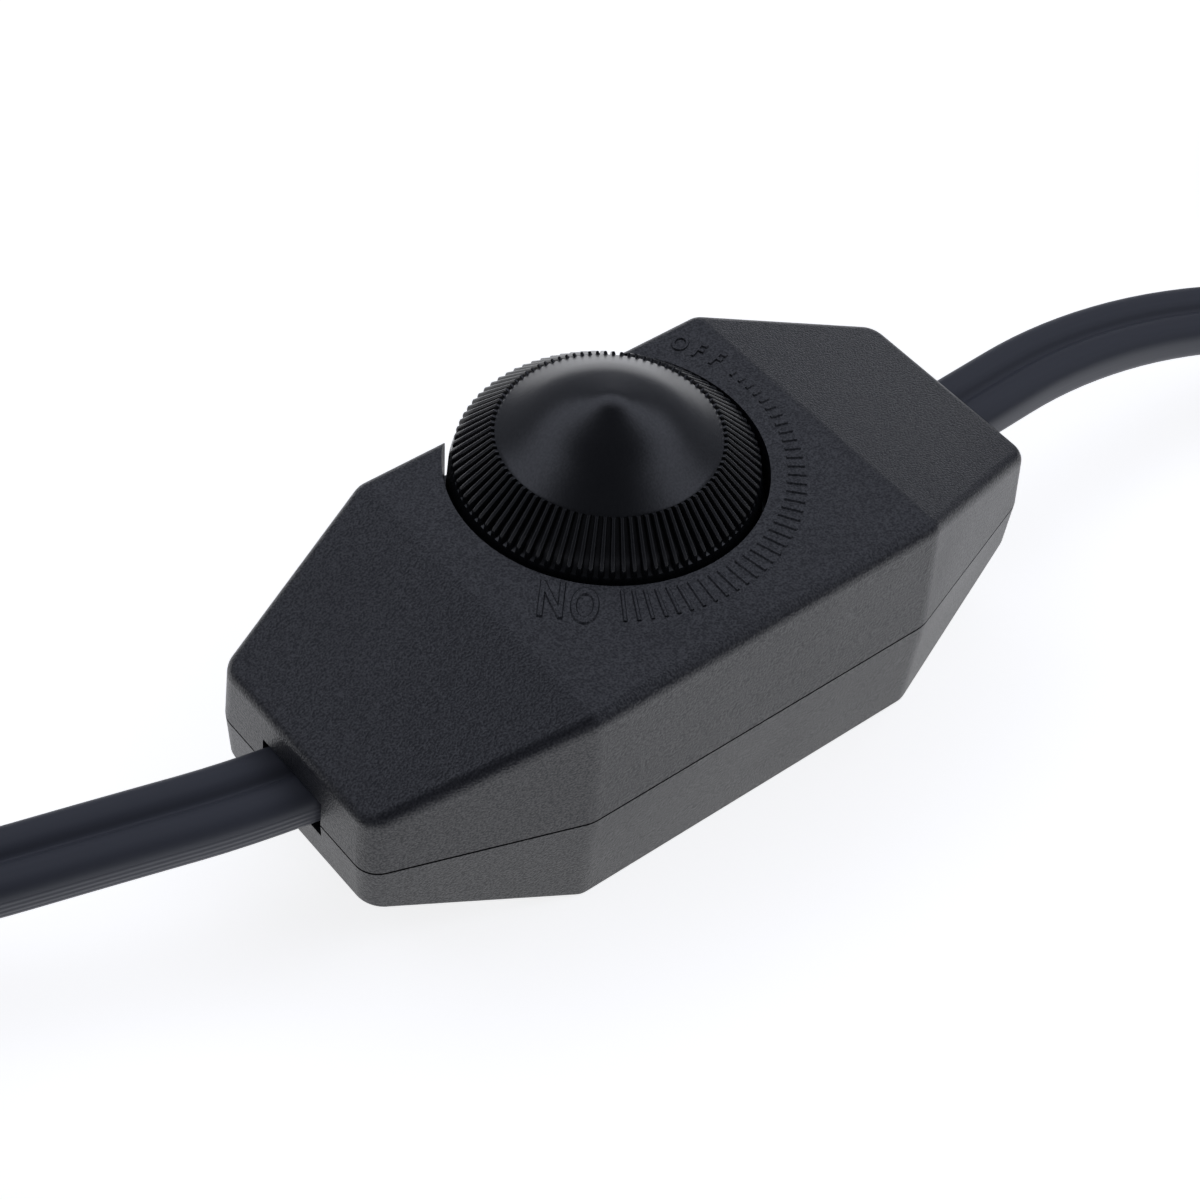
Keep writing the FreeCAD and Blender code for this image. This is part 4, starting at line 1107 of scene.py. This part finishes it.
@dataclass
class Studio:
    """White table under soft boxes behind and at both sides, dark overhead, seen through a long lens."""

    place: Point = (-108.31 * MM, -112.96 * MM, 182.95 * MM)
    ahead: Point = (0.45397, 0.49336, -0.74196)
    right: Point = (0.78008, -0.62247, 0.06339)
    lens: float = 83.013
    sensor: float = 36.0
    nearest: float = 10.0 * MM
    table_size: float = 6.0
    table_colour: str = "#e6e6e6"
    table_roughness: float = 0.9
    table_glow: float = 0.8
    box_light: float = 0.98
    box_height: float = 0.71
    box_core: float = 0.06
    box_reach: float = 0.24
    box_edge: Range = (-0.42, -0.05)
    low_light: float = 0.28
    high_light: float = 0.07
    fill_edge: Range = (0.3, 0.7)
    box_colour: str = "#e8edff"
    white: float = 1.0

    def build(self) -> None:
        """Sets up the camera, the table and the light."""
        self._camera()
        self._table()
        self._light()
        bpy.context.scene.view_settings.view_transform = "Standard"

    def _camera(self) -> None:
        """Places the camera by its point of view and its two axes."""
        ahead = Vector(self.ahead).normalized()
        right = Vector(self.right)
        right = (right - ahead * right.dot(ahead)).normalized()
        up = right.cross(ahead)
        camera = bpy.data.cameras.new("camera")
        camera.sensor_width = self.sensor
        camera.lens = self.lens
        camera.clip_start = self.nearest
        holder = bpy.data.objects.new("camera", camera)
        turn = Matrix((right, up, -ahead)).transposed().to_4x4()
        holder.matrix_world = Matrix.Translation(self.place) @ turn
        bpy.context.scene.collection.objects.link(holder)
        bpy.context.scene.camera = holder

    def _table(self) -> None:
        """Lays a plain white table that still takes the object's shadow."""
        half = self.table_size / 2
        mesh = bpy.data.meshes.new("table")
        corners = [(-half, -half, 0.0), (half, -half, 0.0), (half, half, 0.0), (-half, half, 0.0)]
        mesh.from_pydata(corners, [], [(0, 1, 2, 3)])
        table = add_piece("table", mesh)
        material, tree = new_tree("white_table")
        end_tree(
            tree,
            {
                "Base Color": hex_to_linear(self.table_colour),
                "Roughness": self.table_roughness,
                "Specular IOR Level": 0.0,
                "Emission Color": hex_to_linear(WHITE),
                "Emission Strength": self.table_glow,
            },
        )
        paint(table, material)

    def _light(self) -> None:
        """Lights the scene by soft boxes all round but for the camera's side, while the camera sees white."""
        world = bpy.data.worlds.new("soft_boxes")
        bpy.context.scene.world = world
        world.use_nodes = True
        tree = world.node_tree
        tree.nodes.clear()
        direction = add_node(tree, "ShaderNodeTexCoord").outputs["Generated"]
        height = add_node(tree, "ShaderNodeSeparateXYZ", {"Vector": direction}).outputs["Z"]
        level_ahead = Vector((self.ahead[0], self.ahead[1], 0.0)).normalized()
        away = add_node(
            tree, "ShaderNodeVectorMath", {0: direction, 1: level_ahead}, operation="DOT_PRODUCT"
        ).outputs["Value"]
        round_it = remap(tree, away, self.box_edge, (0.0, self.box_light), Ease.SOFT)
        distance = calculate(tree, "ABSOLUTE", calculate(tree, "SUBTRACT", height, self.box_height))
        band = remap(tree, distance, (self.box_core, self.box_reach), (1.0, 0.0), Ease.SOFT)
        fill = remap(tree, height, self.fill_edge, (self.low_light, self.high_light), Ease.SOFT)
        lit = calculate(tree, "MULTIPLY_ADD", round_it, band, fill)
        seen = add_node(tree, "ShaderNodeLightPath").outputs["Is Camera Ray"]
        level = add_node(tree, "ShaderNodeMix", {0: seen, 2: lit, 3: self.white}, data_type="FLOAT")
        tone = add_node(
            tree,
            "ShaderNodeMix",
            {0: seen, 6: hex_to_linear(self.box_colour), 7: hex_to_linear(WHITE)},
            data_type="RGBA",
        )
        glow = add_node(
            tree, "ShaderNodeBackground", {"Color": tone.outputs[2], "Strength": level.outputs[0]}
        )
        add_node(tree, "ShaderNodeOutputWorld", {"Surface": glow.outputs["Background"]})


# Finishes

# Black casing plastic moulded in a spark-eroded tool: dull charcoal, sparkling where light grazes it.
CASING = Moulded(
    "casing_plastic", "#212226", 0.37, grain=0.17 * MM, depth=0.05 * MM, strength=1.0, sparkle=0.2
)
# The same plastic from a smoother tool: satin, with clearer shapes in its reflections.
KNOB_SKIN = Moulded("knob_plastic", "#17181a", 0.25, grain=0.18 * MM, depth=0.01 * MM, sparkle=0.06)
# Extruded flexible vinyl: a dull blue-black, with draw lines and ribs along it.
JACKET = Vinyl("cord_jacket", "#484a51", 0.45, rib_from=3.0 * MM, rib_to=5.4 * MM)
# Vinyl moulded round the plug: satin black with a very fine grain.
PLUG_SKIN = Moulded("plug_plastic", "#161617", 0.42, grain=0.3 * MM, depth=0.01 * MM)
# Vinyl extruded over single cores: satin black and nearly smooth.
CORE_SKIN = Moulded("core_plastic", "#151516", 0.4, grain=0.25 * MM, depth=0.006 * MM)
# Woven nylon tape: black and dull, stepped by its threads.
STRAP = Woven("strap_fabric", "#18181a", 0.85)
# Steel plated with zinc: pale grey, its lights drawn out softly.
SCREW = Metal("zinc_plate", "#b9babc", 0.34)
# Pressed steel plated with nickel: a warmer, clearer shine.
PLATE = Metal("nickel_plate", "#c6c4bf", 0.28, line=0.2 * MM)
# Turned aluminium: light grey, ringed by tool lines.
ALLOY = Metal("turned_alloy", "#cfd0d2", 0.36, line=0.12 * MM, stretch=(1.0, 1.0, 0.1))
# Stamped brass strip: yellow, with rolling lines along it.
BRASS = Metal("stamped_brass", "#c9a24e", 0.3)
# Copper dipped in tin: pale and a little warm, with a soft shine.
TIN = Metal("tinned_copper", "#c9c7c0", 0.32, line=0.25 * MM, stretch=(0.1, 1.0, 1.0))
# Copper wire coated with enamel: deep orange, bright along each turn.
COPPER = Metal("enamelled_wire", "#b2622f", 0.3, line=0.3 * MM, stretch=(0.05, 0.05, 1.0))
# Moulded nylon: cream-coloured and waxy.
ROTOR = Moulded("rotor_plastic", "#d6d2c6", 0.5)
# Moulded phenolic: dark grey and half dull.
SWITCH = Moulded("switch_plastic", "#26262a", 0.45)
# Epoxy moulded round a chip: flat black with a fine tooth.
EPOXY = Moulded("mould_compound", "#202022", 0.55, grain=0.2 * MM)
# Pressed phenolic paper: brown, clouded by its fibres.
BOARD = Lacquer("phenolic_board", "#8a5f35", 0.55, second="#5a3a1c", share=0.5, patch=2.0 * MM)
# Screen-printed carbon: flat black, faintly streaked.
CARBON = Lacquer("carbon_track", "#141414", 0.6, second="#2a2a2a")
# Moulded resin box: yellow and even, with a low gloss.
CAPACITOR = Lacquer("capacitor_case", "#d9a92c", 0.35, second="#b5851c")
# Dipped epoxy coat: brick red, wet-looking and softly rippled.
FILM = Lacquer("film_coating", "#8f3624", 0.25, second="#5f2014")
# Fired ferrite: dark grey and dry, mottled by its grain.
FERRITE = Lacquer("ferrite", "#3a3a3d", 0.6, second="#1c1c1e", share=0.6, patch=0.5 * MM)
# Sprayed lacquer: sand-coloured and glossy.
RESISTOR = Lacquer("resistor_coating", "#cfb98c", 0.3, second="#a98f60")
# Dipped lacquer: blue and glassy.
DIAC = Lacquer("diac_coating", "#3d5fa8", 0.22, second="#24407c")

CARRIED: dict[str, Finish] = {
    "housing_screws": SCREW,
    "pot_shaft": ALLOY,
    "pot_rotor": ROTOR,
    "pot_wiper": BRASS,
    "pot_case": PLATE,
    "pot_wafer": BOARD,
    "pot_track": CARBON,
    "pot_lugs": TIN,
    "switch_case": SWITCH,
    "circuit_board": BOARD,
    "heat_sink": ALLOY,
    "triac": EPOXY,
    "heat_sink_rivet": ALLOY,
    "filter_capacitor": CAPACITOR,
    "timing_capacitor": FILM,
    "coupling_capacitor": FILM,
    "choke_core": FERRITE,
    "choke_winding": COPPER,
    "resistor": RESISTOR,
    "diac": DIAC,
    "line_tails": CORE_SKIN,
    "load_tails": CORE_SKIN,
    "line_tie": STRAP,
    "load_tie": STRAP,
    "plug_body": PLUG_SKIN,
    "plug_blades": BRASS,
    "load_strands": TIN,
}

# The cords' routes, the middle of each cord from inside the casing outwards.
LINE_ROUTE = [
    (-0.0262, -0.0012, 0.0109),
    (-0.0372, 0.00045, 0.0109),
    (-0.0492, 0.0044, 0.0102),
    (-0.0622, 0.0092, 0.0086),
    (-0.0742, 0.0166, 0.0064),
    (-0.0872, 0.0220, 0.0048),
    (-0.1002, 0.0231, 0.0044),
]
LINE_END_ROUTE = [
    (-0.1000, 0.0231, 0.0168),
    (-0.1130, 0.0206, 0.0179),
    (-0.1260, 0.0146, 0.0206),
    (-0.1386, 0.0113, 0.0227),
]
LOAD_ROUTE = [
    (0.0262, 0.0000, 0.0109),
    (0.0382, 0.0005, 0.0109),
    (0.0512, 0.0014, 0.0102),
    (0.0652, -0.0004, 0.0084),
    (0.0792, -0.0062, 0.0064),
    (0.0922, -0.0149, 0.0050),
    (0.1042, -0.0210, 0.0046),
    (0.1162, -0.0231, 0.0044),
]
LOAD_END_ROUTE = [
    (0.1210, -0.0231, 0.00975),
    (0.1340, -0.0228, 0.0105),
    (0.1500, -0.0233, 0.0105),
    (0.1640, -0.0231, 0.0105),
]
OUTER_TURN = 23.15 * MM
INNER_TURN = 19.6 * MM
LOW_TURN = 4.35 * MM
HIGH_TURN = 11.45 * MM


def sub_assemblies() -> Iterable[SubAssembly]:
    """Lists the object's groups in the order that they are built.

    Returns:
        The groups.
    """
    yield FlatCord(
        "line_cord_jacket",
        JACKET,
        LINE_ROUTE,
        LINE_END_ROUTE,
        way=-1,
        side=1,
        hank_start=101.0 * MM,
        turns=[
            (OUTER_TURN, LOW_TURN),
            (INNER_TURN, LOW_TURN),
            (INNER_TURN, HIGH_TURN),
            (OUTER_TURN, HIGH_TURN),
        ],
        exit=(-0.0352, 0.0002, 0.0109),
        far_end="plug",
        replaced=("line_cord", "line_hank", "line_cord_end"),
        on_it=("line_tie", "plug_body", "plug_blades"),
        flat_points=3,
    )
    yield FlatCord(
        "load_cord_jacket",
        JACKET,
        LOAD_ROUTE,
        LOAD_END_ROUTE,
        way=1,
        side=-1,
        hank_start=117.0 * MM,
        turns=[(OUTER_TURN, LOW_TURN), (INNER_TURN, LOW_TURN)],
        exit=(0.0352, 0.0004, 0.0109),
        far_end="bare",
        replaced=("load_cord", "load_hank", "load_cord_end"),
        on_it=("load_tie", "load_strands"),
        flat_points=4,
    )
    yield CarriedNodes({"upper_shell": CASING, "lower_shell": CASING})
    yield DialMarks(CASING)
    yield Knob(KNOB_SKIN)
    yield CarriedNodes(CARRIED)


def main() -> None:
    """Builds the studio and every group."""
    logging.basicConfig(level=logging.INFO, format="%(name)s: %(message)s", stream=sys.stdout)
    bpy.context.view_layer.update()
    Studio().build()
    for group in sub_assemblies():
        for name in group.build():
            LOG.info("%s built %s", type(group).__name__, name)
        group.dress()


if __name__ == "__main__":
    main()
